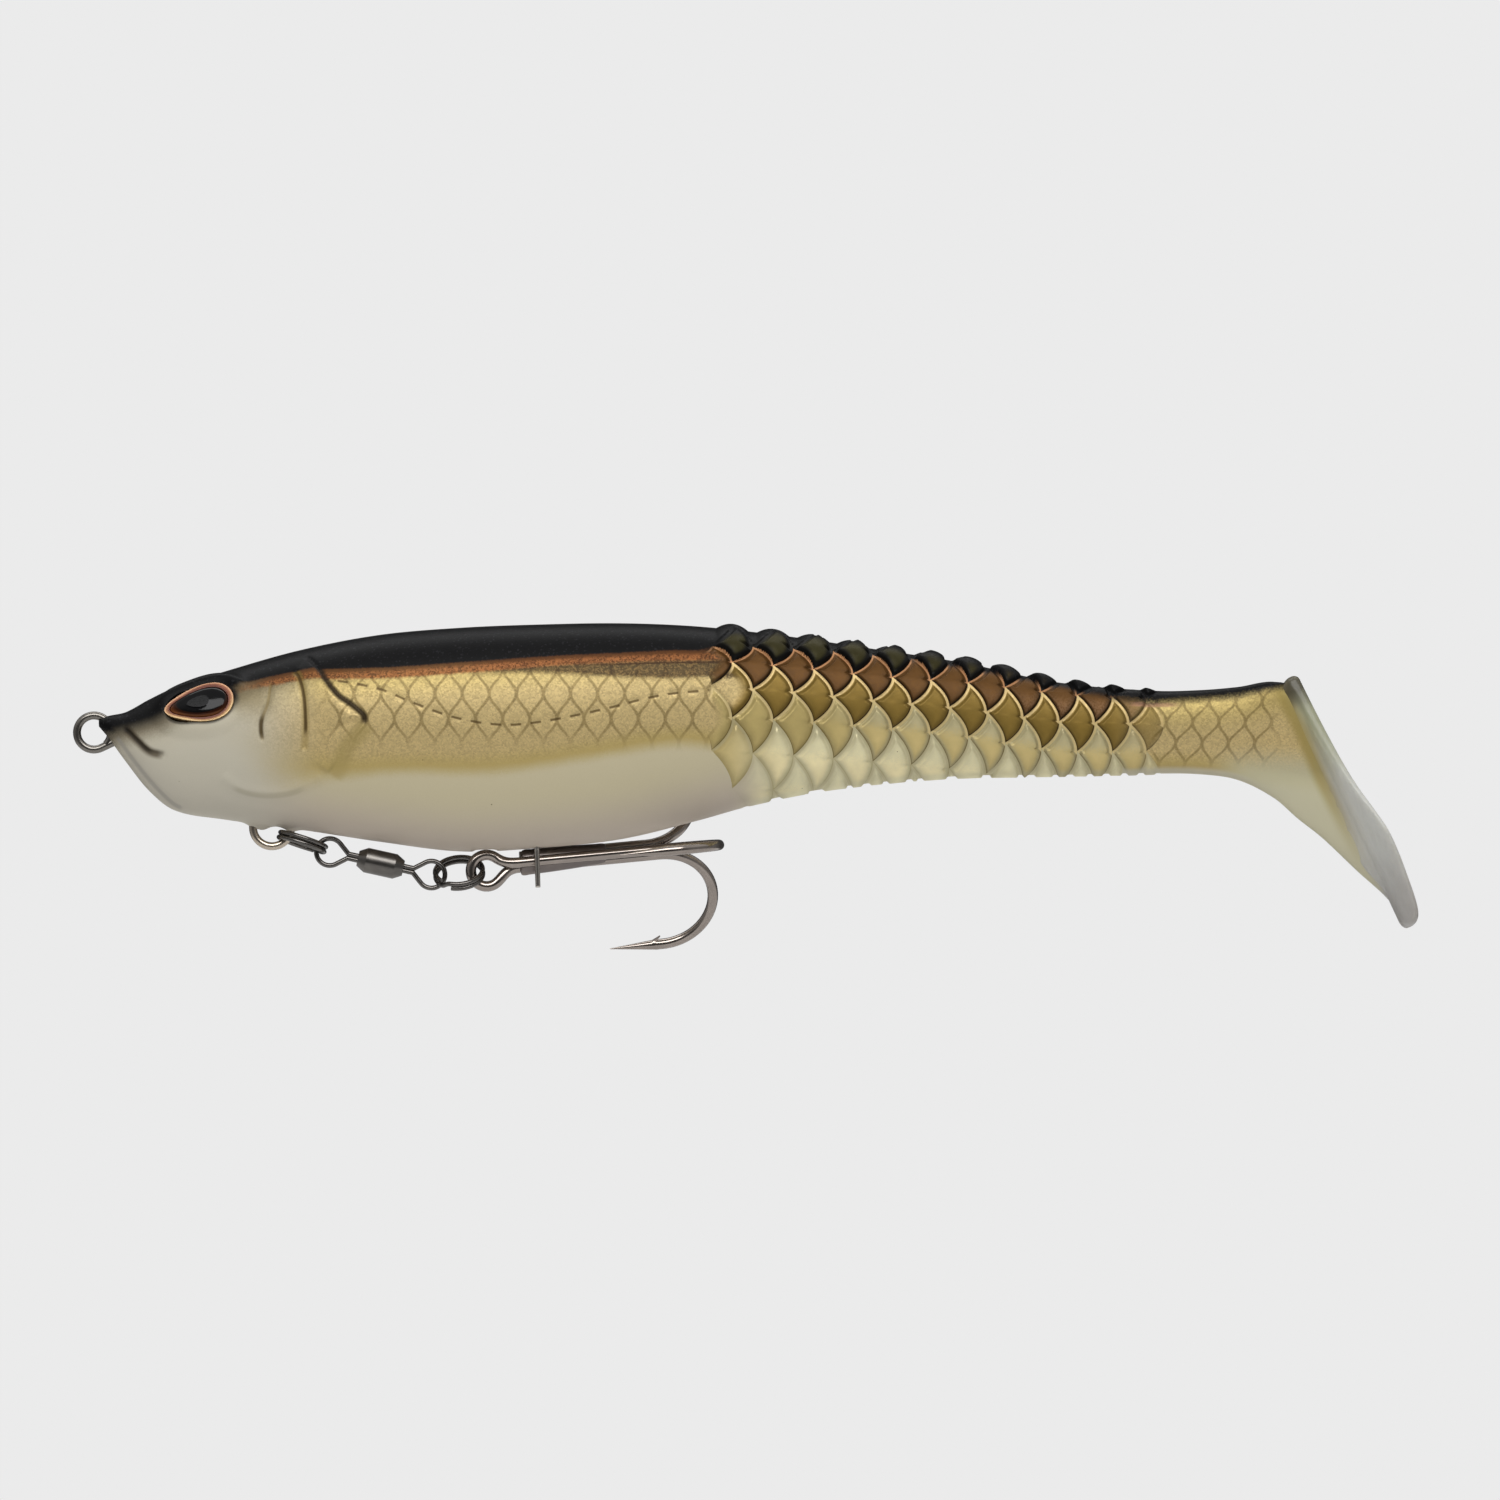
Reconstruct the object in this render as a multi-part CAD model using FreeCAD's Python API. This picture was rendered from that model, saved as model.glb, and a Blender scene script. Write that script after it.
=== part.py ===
"""A pre-rigged soft swimbait: a soft shad body with a paddle tail, a through-wire harness, and a treble
hook that hangs from the harness on two split rings and a barrel swivel and is pinned to the belly.

Frame, in millimetres: the origin is the centre of the line tie's ring, +X runs to the tail, +Z to the
back, and -Y is the lure's left side. Every sub-part is written to parts/NODE.step.
"""

import FreeCAD, Part
import math
import os

from FreeCAD import Base, Rotation, Vector

# --- driving dimensions ------------------------------------------------------------------------------

# Soft body: (x, top z, bottom z, half width). The curves through them are the back, the belly and the
# plan view. Heights and widths run from the nose to the wrist of the tail.
BODY_STATIONS = [
    (0.8, 2.1, 0.9, 1.0),
    (2.3, 2.6, -0.9, 1.9),
    (5.0, 3.2, -4.6, 3.4),
    (8.5, 5.1, -9.0, 5.0),
    (12.5, 7.0, -12.1, 6.3),
    (20.0, 9.4, -13.5, 7.9),
    (32.0, 12.8, -15.1, 9.2),
    (44.5, 15.2, -17.0, 9.8),
    (57.0, 16.3, -18.5, 10.1),
    (69.0, 16.8, -18.0, 10.0),
    (82.0, 17.0, -16.6, 9.6),
    (94.0, 16.5, -13.7, 9.0),
    (107.0, 15.1, -10.1, 8.1),
    (120.0, 13.2, -8.1, 7.1),
    (135.0, 10.9, -6.9, 5.9),
    (150.0, 7.8, -6.7, 4.6),
    (165.0, 6.5, -6.4, 3.3),
    (178.0, 7.2, -7.4, 2.3),
]
WIDEST_SHARE = 0.53  # height of the widest point, as a share of the section's height from the belly
BACK_POWER = 2.1  # how square the section is above its widest point; 2 is an ellipse
BELLY_POWER = 1.85
SECTION_STEPS = 5  # spline points in each quarter of a section

# Flex lines of the body, where its segments turn about vertical axes.
FLEX_X = {"body_flex": 100.0, "rear_flex": 124.0, "tail_flex": 148.0, "paddle_kick": 172.0}
FLEX_GAP = 0.35  # between a segment's round end and the socket it turns in

# Paddle tail.
WEB_THICKNESS = 3.2
WEB_OUTLINE = [  # (x, z) round the thin web between the wrist and the paddle, from the top of the wrist
    (171.5, 6.6),
    (179.0, 7.1),
    (186.8, 7.9),
    (203.2, -25.5),
    (200.9, -25.6),
    (193.6, -18.9),
    (184.6, -10.8),
    (178.3, -7.6),
    (171.5, -6.5),
]
PADDLE_TOP = Vector(186.4, 0, 8.2)
PADDLE_FOOT = Vector(204.2, 0, -29.8)
PADDLE_OUTLINE = [  # (distance down from the paddle's top, half width)
    (0.0, 1.6),
    (6.0, 3.2),
    (14.0, 6.2),
    (22.0, 9.3),
    (29.0, 11.0),
    (35.0, 10.6),
    (39.8, 7.0),
]
PADDLE_THICKNESS = 2.0
PADDLE_CUP_RADIUS = 19.0  # the paddle is a strip of a tube of this radius, its edges swept back

# Through-wire harness.
HARNESS_WIRE = 1.25
TIE_RADIUS = 2.65  # line tie ring, to the middle of its wire
TIE_EXIT_DEG = -65.0  # where the ring's wire leaves it for the nose
TIE_CLOSE_DEG = -45.0  # where the ring's cut end closes on its own leg
HANGER_X = (24.74, 30.66)  # front and rear legs of the belly hanger
HANGER_FOOT_Z = -17.7  # middle of the wire at the bottom of the hanger
HARNESS_TOP_Z = -3.4
HARNESS_REAR_Z = -9.0
HARNESS_END_X = 66.0
HARNESS_BEND = 2.2

# Lead ballast, cast round the harness.
WEIGHT_X = (33.0, 60.0)
WEIGHT_Z = -9.6
WEIGHT_RADIUS = 4.6

# Eyes: a teardrop, blunt at the back and pointed at the front.
EYE_CENTRE = Vector(16.75, 0, 4.25)
EYE_SURFACE_Y = 5.9
EYE_LENGTH = 11.0
EYE_HEIGHT = 7.5
EYE_TILT_DEG = 12.0  # the long axis rises to the tail
EYE_UP_DEG = 24.0  # how far each eye looks up
EYE_FORWARD_DEG = 11.0  # and forward
EYE_RIM = 0.8
EYE_DEPTH = 1.1
EYE_PROUD = 0.5
LENS_BASE = -0.3
LENS_GAP = 0.03  # between the lens and its rim
LENS_STEP = 0.25  # top of the lens's straight wall
LENS_DOME = [(0.93, 0.72), (0.72, 1.08), (0.38, 1.28)]  # (scale, height) up the dome

# Split rings: two flat turns of wire.
RING_WIRE = 0.75
RING_RADIUS = 3.7
RING_LAYER_GAP = 0.04
RING_TURN_DEG = 330.0
RING_FRONT_CENTRE = Vector(32.42, 0, -17.04)
RING_FRONT_DIP_DEG = 18.0  # how far its long way dips to the tail
RING_FRONT_LEAN_DEG = 6.0  # left side up
RING_REAR_CENTRE = Vector(56.8, 0.15, -21.83)
RING_REAR_DIP_DEG = -4.3
RING_REAR_LEAN_DEG = -34.0  # left side down

# Barrel swivel.
SWIVEL_CENTRE = Vector(44.6, 0, -20.35)
SWIVEL_DIP_DEG = 12.5
SWIVEL_WIRE = 0.76
SWIVEL_EYE_RADIUS = 2.1
SWIVEL_EYE_AT = 8.1  # from the barrel's middle to the middle of each eye
SWIVEL_NECK_AT = 5.2  # where the two strands of an eye meet
SWIVEL_STRAND_OFFSET = 0.34
BARREL_LENGTH = 7.2
BARREL_RADIUS = 1.95
BARREL_CHAMFER = (1.3, 0.75)  # along and across
BARREL_WALL = 1.0
BARREL_BORE = 0.8
BARREL_CAVITY_RADIUS = 1.35
SWIVEL_HEAD = (1.25, 0.8)  # radius and thickness of the head inside the barrel
SWIVEL_HEAD_GAP = 0.1

# Treble hook, built with the shanks' axis along +X and its eye at x = 0, then placed.
HOOK_WIRE = 1.65
HOOK_EYE_RADIUS = 2.45
HOOK_EYE_DROP = 0.8  # the eye hangs this far below the shanks' axis
BUNDLE_RADIUS = 0.94  # from that axis to the middle of each shank
SINGLE_LIFT = 0.04  # the single hook lies this much further out
HOOK_NECK_AT = 5.1
HOOK_BEND_AT = 27.3
HOOK_BEND_RADIUS = 8.2
HOOK_LEG = 1.0  # parallel part after the bend
HOOK_POINT = 7.3  # tapered point
HOOK_TIP_RADIUS = 0.06
BARB_AT = 5.4  # from the tip to the barb's heel
BARB_LENGTH = 2.6
BARB_HEIGHT = 1.5
BARB_THICKNESS = 0.44
PRONG_DEG = {"lower": 210.0, "near": 90.0, "upper": -30.0}  # from straight up, towards the left side
HOOK_EYE_PLACE = Vector(61.0, 0.3, -20.7)
HOOK_RISE_DEG = 5.3
HOOK_YAW_DEG = 7.0
HOOK_EYE_SPREAD_DEG = 52.0  # where each leg of the eye leaves its round
SINGLE_FROM = 5.4
SINGLE_SHIFT = -2.0  # the single hook sits this much further forward
BRAZE_X = (5.8, 14.0)
BRAZE_RADIUS = 1.45
PIN_RADIUS = 0.4
PIN_X = 8.0
PIN_Z = (-4.7, 2.9)
PIN_LEAN_DEG = 2.0
DENT_GAP = 0.3
PIN_SLOT = (3.4, 2.5, 1.8)  # length, width and depth of the slot that the pin's tip sits in
PIN_SLOT_OFFSET = (0.7, 0.45)  # of its middle from the pin, to the tail and to the right


# --- helpers ---------------------------------------------------------------------------------------


def smooth_loft(wires):
    return Part.makeLoft(wires, True, False)


def catmull(points, x):
    """Value at x of a smooth curve through (x, value) points, with slopes from the neighbours."""
    n = len(points)
    i = max(0, min(n - 2, sum(1 for p in points if p[0] <= x) - 1))
    (x0, v0), (x1, v1) = points[i], points[i + 1]

    def slope(k):
        a, b = points[max(0, k - 1)], points[min(n - 1, k + 1)]
        return (b[1] - a[1]) / (b[0] - a[0])

    h = x1 - x0
    t = (x - x0) / h
    m0, m1 = slope(i) * h, slope(i + 1) * h
    return (
        (2 * t**3 - 3 * t**2 + 1) * v0
        + (t**3 - 2 * t**2 + t) * m0
        + (3 * t**2 - 2 * t**3) * v1
        + (t**3 - t**2) * m1
    )


def half_width(x):
    return catmull([(s[0], s[3]) for s in BODY_STATIONS], x)


def body_section(x, top, bottom, width):
    """A closed wire: the egg-shaped section of the body at x."""
    middle = bottom + WIDEST_SHARE * (top - bottom)
    points = []
    for i in range(4 * SECTION_STEPS):
        a = 2 * math.pi * i / (4 * SECTION_STEPS)
        c, s = math.cos(a), math.sin(a)
        power = BACK_POWER if s >= 0 else BELLY_POWER
        height = top - middle if s >= 0 else middle - bottom
        y = math.copysign(abs(c) ** (2 / power), c) * width
        z = middle + math.copysign(abs(s) ** (2 / power), s) * height
        points.append(Vector(x, y, z))
    curve = Part.BSplineCurve()
    curve.interpolate(Points=points, PeriodicFlag=True)
    return Part.Wire([curve.toShape()])


def arc(a, b, c):
    return Part.Arc(a, b, c).toShape()


def line(a, b):
    return Part.LineSegment(a, b).toShape()


def rod(edges, diameter):
    """A round wire along tangent edges."""
    path = Part.Wire(edges)
    first = edges[0]
    start = first.valueAt(first.FirstParameter)
    along = first.tangentAt(first.FirstParameter)
    ring = Part.Wire([Part.makeCircle(diameter / 2, start, along)])
    return path.makePipeShell([ring], True, True)


def bent(points, radii):
    """Edges of a polyline whose inner corners are rounded to the radii given."""
    edges = []
    at = points[0]
    for before, corner, after, radius in zip(points, points[1:], points[2:], radii):
        into = (corner - before).normalize()
        out = (after - corner).normalize()
        turn = into.getAngle(out)
        back = radius * math.tan(turn / 2)
        begin = corner - into * back
        end = corner + out * back
        bisector = (out - into).normalize()
        centre = corner + bisector * math.hypot(radius, back)
        middle = centre - bisector * radius
        if (begin - at).Length > 1e-6:
            edges.append(line(at, begin))
        edges.append(arc(begin, middle, end))
        at = end
    edges.append(line(at, points[-1]))
    return edges


def placed(shape, at, turns):
    """The shape turned in order by (axis, degrees) about the origin, then moved to at."""
    for axis, degrees in turns:
        shape.rotate(Vector(0, 0, 0), axis, degrees)
    shape.translate(at)
    return shape


def teardrop_eye(neck_at, neck_offset, radius, middle_y=0.0):
    """Edges of a wire eye in the XZ plane round the origin, open towards +X at (neck_at, +-offset).

    Returns (edges, upper end, lower end), from the upper end round to the lower."""
    reach = math.hypot(neck_at, neck_offset)
    lift = math.atan2(neck_offset, neck_at) + math.acos(radius / reach)
    touch = Vector(radius * math.cos(lift), middle_y, radius * math.sin(lift))
    foot = Vector(touch.x, middle_y, -touch.z)
    upper = Vector(neck_at, middle_y, neck_offset)
    lower = Vector(neck_at, middle_y, -neck_offset)
    edges = [
        line(upper, touch),
        arc(touch, Vector(-radius, middle_y, 0), foot),
        line(foot, lower),
    ]
    return edges, upper, lower


X, Y, Z = Vector(1, 0, 0), Vector(0, 1, 0), Vector(0, 0, 1)
parts = {}


# --- harness, weight -------------------------------------------------------------------------------


def tie_point(degrees):
    a = math.radians(degrees)
    return Vector(TIE_RADIUS * math.cos(a), 0, TIE_RADIUS * math.sin(a))


def harness_wire():
    """Line tie ring, the run through the head, the belly hanger, and the run back into the ballast."""
    leave = tie_point(TIE_EXIT_DEG)
    a = math.radians(TIE_EXIT_DEG)
    heading = Vector(-math.sin(a), 0, math.cos(a))
    nose = leave + heading * 5.4
    ring = [
        arc(tie_point(0), tie_point(90), tie_point(180)),
        arc(tie_point(180), tie_point(238), leave),
    ]
    front, rear = HANGER_X
    foot_radius = (rear - front) / 2
    foot_top = HANGER_FOOT_Z + foot_radius
    down = bent(
        [
            leave,
            nose,
            Vector(front, 0, HARNESS_TOP_Z),
            Vector(front, 0, foot_top),
        ],
        [3.0, HARNESS_BEND],
    )
    hanger = arc(
        Vector(front, 0, foot_top),
        Vector((front + rear) / 2, 0, HANGER_FOOT_Z),
        Vector(rear, 0, foot_top),
    )
    back = bent(
        [
            Vector(rear, 0, foot_top),
            Vector(rear, 0, HARNESS_REAR_Z),
            Vector(HARNESS_END_X, 0, HARNESS_REAR_Z),
        ],
        [HARNESS_BEND],
    )
    wire = rod(ring + down + [hanger] + back, HARNESS_WIRE)
    closing = rod([arc(tie_point(TIE_CLOSE_DEG), tie_point(TIE_CLOSE_DEG / 2), tie_point(0.5))], HARNESS_WIRE)
    return wire.fuse(closing).removeSplitter()


def keel_weight():
    """A round-ended lead bar cast round the harness."""
    front, rear = WEIGHT_X
    r = WEIGHT_RADIUS
    body = Part.makeCylinder(r, rear - front - 2 * r, Vector(front + r, 0, WEIGHT_Z), X)
    for x in (front + r, rear - r):
        body = body.fuse(Part.makeSphere(r, Vector(x, 0, WEIGHT_Z)))
    return body.removeSplitter().cut(parts["harness_wire"])


# --- eyes ------------------------------------------------------------------------------------------


def eye_wire(inset, height, scale=1.0):
    """The teardrop outline in the XY plane at a height, its point towards -X, shrunk by inset."""
    half_length = (EYE_LENGTH / 2 - inset) * scale
    half_height = (EYE_HEIGHT / 2 - inset) * scale
    points = []
    for i in range(16):
        a = 2 * math.pi * i / 16
        c, s = math.cos(a), math.sin(a)
        fullness = 0.80 + 0.20 * c
        points.append(Vector(half_length * c, half_height * s * fullness * (1.0 + 0.12 * c), height))
    curve = Part.BSplineCurve()
    curve.interpolate(Points=points, PeriodicFlag=True)
    return Part.Wire([curve.toShape()])


def on_left_eye(shape):
    """Turns a shape built on the XY plane, +Z outwards, to sit in the left eye socket."""
    return placed(
        shape,
        Vector(EYE_CENTRE.x, -EYE_SURFACE_Y, EYE_CENTRE.z),
        [(Z, EYE_TILT_DEG), (X, 90 - EYE_UP_DEG), (Z, -EYE_FORWARD_DEG)],
    )


def eye_blank(inset, low, high):
    return Part.Face(eye_wire(inset, low)).extrude(Vector(0, 0, high - low))


def left_eye_rim():
    blank = eye_blank(0, -EYE_DEPTH, EYE_PROUD)
    return on_left_eye(blank.cut(eye_blank(EYE_RIM, LENS_BASE, EYE_PROUD + 1)))


def left_eye_lens():
    wall = EYE_RIM + LENS_GAP
    dome = [eye_wire(wall, LENS_STEP)] + [eye_wire(wall, h, s) for s, h in LENS_DOME]
    return on_left_eye(eye_blank(wall, LENS_BASE, LENS_STEP).fuse(smooth_loft(dome)))


def mirrored(shape):
    return shape.mirror(Vector(0, 0, 0), Y)


# --- soft body -------------------------------------------------------------------------------------


def flex_cylinder(name, grow=0.0):
    """The upright cylinder that a segment turns in at a flex line."""
    x = FLEX_X[name]
    return Part.makeCylinder(half_width(x) + grow, 80, Vector(x, 0, -45), Z)


def behind(name):
    return Part.makeBox(250, 80, 90, Vector(FLEX_X[name], -40, -50))


def socket_end(shape, name):
    """The shape in front of a flex line, hollowed for the segment behind it."""
    return shape.cut(behind(name)).cut(flex_cylinder(name, FLEX_GAP))


def round_end(shape, name):
    """The shape behind a flex line, with the round end that turns in the socket."""
    return shape.common(behind(name).fuse(flex_cylinder(name)))


def paddle():
    """The curved paddle: a strip of tube cut to its outline."""
    down = (PADDLE_FOOT - PADDLE_TOP).normalize()
    back = Vector(-down.z, 0, down.x)
    upper = [PADDLE_TOP + down * t + Y * w for t, w in PADDLE_OUTLINE]
    lower = [PADDLE_TOP + down * t - Y * w for t, w in reversed(PADDLE_OUTLINE)]
    side = Part.BSplineCurve()
    side.interpolate(Points=upper + [PADDLE_FOOT] + lower)
    outline = Part.Wire([side.toShape(), line(lower[-1], upper[0])])
    blank = Part.Face(outline)
    blank.translate(back * -3)
    blank = blank.extrude(back * 12)
    axis_at = PADDLE_TOP + back * PADDLE_CUP_RADIUS - down * 5
    length = (PADDLE_FOOT - PADDLE_TOP).Length + 10
    half = PADDLE_THICKNESS / 2
    outer = Part.makeCylinder(PADDLE_CUP_RADIUS + half, length, axis_at, down)
    inner = Part.makeCylinder(PADDLE_CUP_RADIUS - half, length, axis_at, down)
    return blank.common(outer.cut(inner))


def web():
    outline = [Vector(x, -WEB_THICKNESS / 2, z) for x, z in WEB_OUTLINE]
    face = Part.Face(Part.makePolygon(outline + outline[:1]))
    return face.extrude(Vector(0, WEB_THICKNESS, 0))


def pin_slot():
    """The slot in the belly for the tip of the hook's pin."""
    length, width, depth = PIN_SLOT
    back, right = PIN_SLOT_OFFSET
    middle = hook_at(Vector(PIN_X + back, PIN_Y + right, PIN_Z[1] - depth / 2))
    corner = middle - Vector(length / 2, width / 2, depth / 2)
    return Part.makeBox(length, width, depth + DENT_GAP, corner)


def hook_eye_dent():
    """The dent that the hook's eye has pressed in the belly."""
    radius = HOOK_EYE_RADIUS + HOOK_WIRE / 2 + DENT_GAP
    width = HOOK_WIRE + 2 * DENT_GAP
    start = hook_at(Vector(0, -width / 2, -HOOK_EYE_DROP))
    return Part.makeCylinder(radius, width, start, Y)


def soft_body():
    whole = smooth_loft([body_section(*s) for s in BODY_STATIONS])
    names = list(FLEX_X)
    front = socket_end(whole, names[0])
    hidden = [parts[n] for n in ("harness_wire", "keel_weight")]
    sockets = [on_left_eye(eye_blank(0, -EYE_DEPTH, 4))]
    sockets.append(mirrored(sockets[0]))
    for tool in hidden + sockets + [pin_slot(), hook_eye_dent()]:
        front = front.cut(tool)
    segments = {"body_front": front}
    for node, name, following in zip(("body_mid", "body_rear", "tail_stem"), names, names[1:]):
        segments[node] = socket_end(round_end(whole, name), following)
    wrist = round_end(whole, names[-1])
    reach = web().cut(Part.makeBox(50, 20, 60, Vector(FLEX_X[names[-1]] - 50, -10, -30)))
    segments["tail_paddle"] = wrist.fuse(reach).fuse(paddle()).removeSplitter()
    return segments


# --- split rings and swivel ------------------------------------------------------------------------


def split_ring():
    """Two flat turns of wire joined by a short step, flat on the XY plane round the origin."""
    rise = (RING_WIRE + RING_LAYER_GAP) / 2

    def at(degrees, z):
        a = math.radians(degrees)
        return Vector(RING_RADIUS * math.cos(a), RING_RADIUS * math.sin(a), z)

    def along(degrees):
        a = math.radians(degrees)
        return Vector(-math.sin(a), math.cos(a), 0)

    half = RING_TURN_DEG / 2
    step = Part.BSplineCurve()
    step.interpolate(
        Points=[at(RING_TURN_DEG, -rise), at(360, rise)],
        InitialTangent=along(RING_TURN_DEG) * 2.2,
        FinalTangent=along(0) * 2.2,
    )
    edges = [
        arc(at(0, -rise), at(half / 2, -rise), at(half, -rise)),
        arc(at(half, -rise), at(1.5 * half, -rise), at(RING_TURN_DEG, -rise)),
        step.toShape(),
        arc(at(0, rise), at(half / 2, rise), at(half, rise)),
        arc(at(half, rise), at(1.5 * half, rise), at(RING_TURN_DEG, rise)),
    ]
    return rod(edges, RING_WIRE)


def ring_placed(centre, dip, lean, start):
    """A split ring whose cut ends stand at start degrees round it, leaning left side up, then dipping."""
    return placed(split_ring(), centre, [(Z, start), (X, -lean), (Y, dip)])


def swivel_eye():
    """One eye with its two strands and its head, the barrel's middle at the origin, the eye at -X."""
    edges, upper, lower = teardrop_eye(
        SWIVEL_EYE_AT - SWIVEL_NECK_AT, SWIVEL_STRAND_OFFSET, SWIVEL_EYE_RADIUS
    )
    head_radius, head_thick = SWIVEL_HEAD
    wall_inside = BARREL_LENGTH / 2 - BARREL_WALL
    head_at = -wall_inside + SWIVEL_HEAD_GAP
    eye = rod(edges, SWIVEL_WIRE)
    eye.translate(Vector(-SWIVEL_EYE_AT, 0, 0))
    made = eye
    for side in (-1, 1):
        z = side * SWIVEL_STRAND_OFFSET
        start = Vector(-SWIVEL_NECK_AT, 0, z)
        made = made.fuse(Part.makeCylinder(SWIVEL_WIRE / 2, SWIVEL_NECK_AT + head_at, start, X))
        made = made.fuse(Part.makeSphere(SWIVEL_WIRE / 2, start))
    head = Part.makeCylinder(head_radius, head_thick, Vector(head_at, 0, 0), X)
    return made.fuse(head)


def swivel_barrel():
    """The hollow barrel, revolved from half its section."""
    along, across = BARREL_CHAMFER
    end, outer = BARREL_LENGTH / 2, BARREL_RADIUS
    inside = end - BARREL_WALL
    half = [
        (-end, BARREL_BORE),
        (-end, outer - across),
        (-end + along, outer),
        (end - along, outer),
        (end, outer - across),
        (end, BARREL_BORE),
        (inside, BARREL_BORE),
        (inside, BARREL_CAVITY_RADIUS),
        (-inside, BARREL_CAVITY_RADIUS),
        (-inside, BARREL_BORE),
    ]
    outline = [Vector(x, 0, r) for x, r in half]
    face = Part.Face(Part.makePolygon(outline + outline[:1]))
    return face.revolve(Vector(0, 0, 0), X, 360)


def swivel_placed(shape):
    return placed(shape, SWIVEL_CENTRE, [(Y, SWIVEL_DIP_DEG)])


# --- treble hook -----------------------------------------------------------------------------------

PIN_Y = -(BUNDLE_RADIUS + HOOK_WIRE / 2 + PIN_RADIUS)


def hook_turns():
    return [(Y, -HOOK_RISE_DEG), (Z, HOOK_YAW_DEG)]


def hook_at(point):
    """A point of the hook's own frame, in the lure's frame."""
    for axis, degrees in hook_turns():
        point = Rotation(axis, degrees).multVec(point)
    return point + HOOK_EYE_PLACE


def outward(name):
    a = math.radians(PRONG_DEG[name])
    return Vector(0, -math.sin(a), math.cos(a))


def prong_path(name, start):
    """Edges of one shank and bend, from start along the shank to the foot of the point."""
    out = outward(name)
    low = out * BUNDLE_RADIUS
    high = out * (BUNDLE_RADIUS + 2 * HOOK_BEND_RADIUS)
    middle = out * (BUNDLE_RADIUS + HOOK_BEND_RADIUS)
    bend = X * HOOK_BEND_AT
    return [
        line(X * start + low, bend + low),
        arc(bend + low, bend + middle + X * HOOK_BEND_RADIUS, bend + high),
        line(bend + high, bend + high - X * HOOK_LEG),
    ]


def prong_point(name):
    """The tapered point with its barb, a thin spur on the inside of the bend that leans back."""
    out = outward(name)
    foot = X * (HOOK_BEND_AT - HOOK_LEG) + out * (BUNDLE_RADIUS + 2 * HOOK_BEND_RADIUS)
    cone = Part.makeCone(HOOK_WIRE / 2, HOOK_TIP_RADIUS, HOOK_POINT, foot, -X)
    heel = foot - X * (HOOK_POINT - BARB_AT)
    toe = heel + X * (BARB_LENGTH / 2)
    tip = heel + X * BARB_LENGTH - out * BARB_HEIGHT
    side = X.cross(out) * BARB_THICKNESS
    face = Part.Face(Part.makePolygon([heel, toe, tip, heel]))
    face.translate(side * -0.5)
    return cone.fuse(face.extrude(side))


def hook_eye_leg(side, name):
    """The curve from the round of the eye, on its upper (1) or lower (-1) side, to a shank's start."""
    a = math.radians(HOOK_EYE_SPREAD_DEG)
    leave = Vector(math.cos(a), 0, side * math.sin(a)) * HOOK_EYE_RADIUS - Z * HOOK_EYE_DROP
    heading = Vector(math.sin(a), 0, -side * math.cos(a))
    neck = X * HOOK_NECK_AT + outward(name) * BUNDLE_RADIUS
    reach = (neck - leave).Length
    curve = Part.BSplineCurve()
    curve.interpolate(Points=[leave, neck], InitialTangent=heading * reach, FinalTangent=X * reach)
    return curve.toShape(), leave


def treble_double_hook():
    """The near and lower prongs and the eye that joins them, from one wire."""
    upper_leg, upper = hook_eye_leg(1, "near")
    lower_leg, lower = hook_eye_leg(-1, "lower")
    front = Vector(-HOOK_EYE_RADIUS, 0, -HOOK_EYE_DROP)
    hook = rod([arc(upper, front, lower)], HOOK_WIRE)
    for name, leg in (("near", upper_leg), ("lower", lower_leg)):
        hook = hook.fuse(rod([leg] + prong_path(name, HOOK_NECK_AT), HOOK_WIRE)).fuse(prong_point(name))
    return hook


def treble_single_hook():
    """The upper hook, brazed to the other two."""
    hook = rod(prong_path("upper", SINGLE_FROM - SINGLE_SHIFT), HOOK_WIRE).fuse(prong_point("upper"))
    hook.translate(X * SINGLE_SHIFT + outward("upper") * SINGLE_LIFT)
    return hook


def treble_braze():
    """The braze that fills the grooves between the three shanks."""
    front, rear = BRAZE_X
    core = Part.makeCylinder(BRAZE_RADIUS, rear - front, X * front, X)
    for name in PRONG_DEG:
        lift = SINGLE_LIFT if name == "upper" else 0
        start = X * (front - 1) + outward(name) * (BUNDLE_RADIUS + lift)
        core = core.cut(Part.makeCylinder(HOOK_WIRE / 2, rear - front + 2, start, X))
    return core


def belly_pin():
    low, high = PIN_Z
    shaft = Part.makeCylinder(PIN_RADIUS, high - low, Vector(PIN_X, PIN_Y, low), Z)
    shaft.rotate(Vector(PIN_X, PIN_Y, 0), Y, -PIN_LEAN_DEG)
    return shaft


def hook_placed(shape):
    return placed(shape, HOOK_EYE_PLACE, hook_turns())


# --- assembly --------------------------------------------------------------------------------------


def build():
    parts["harness_wire"] = harness_wire()
    parts["keel_weight"] = keel_weight()
    for side, turn in (("left", lambda s: s), ("right", mirrored)):
        parts[f"eye_{side}_rim"] = turn(left_eye_rim())
        parts[f"eye_{side}_lens"] = turn(left_eye_lens())
    parts.update(soft_body())
    parts["split_ring_front"] = ring_placed(
        RING_FRONT_CENTRE, RING_FRONT_DIP_DEG, RING_FRONT_LEAN_DEG, 60
    )
    parts["split_ring_rear"] = ring_placed(RING_REAR_CENTRE, RING_REAR_DIP_DEG, RING_REAR_LEAN_DEG, 250)
    parts["swivel_front_eye"] = swivel_placed(swivel_eye())
    parts["swivel_rear_eye"] = swivel_placed(placed(swivel_eye(), Vector(), [(Z, 180)]))
    parts["swivel_barrel"] = swivel_placed(swivel_barrel())
    for make in (treble_double_hook, treble_single_hook, treble_braze, belly_pin):
        parts[make.__name__] = hook_placed(make())


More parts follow.
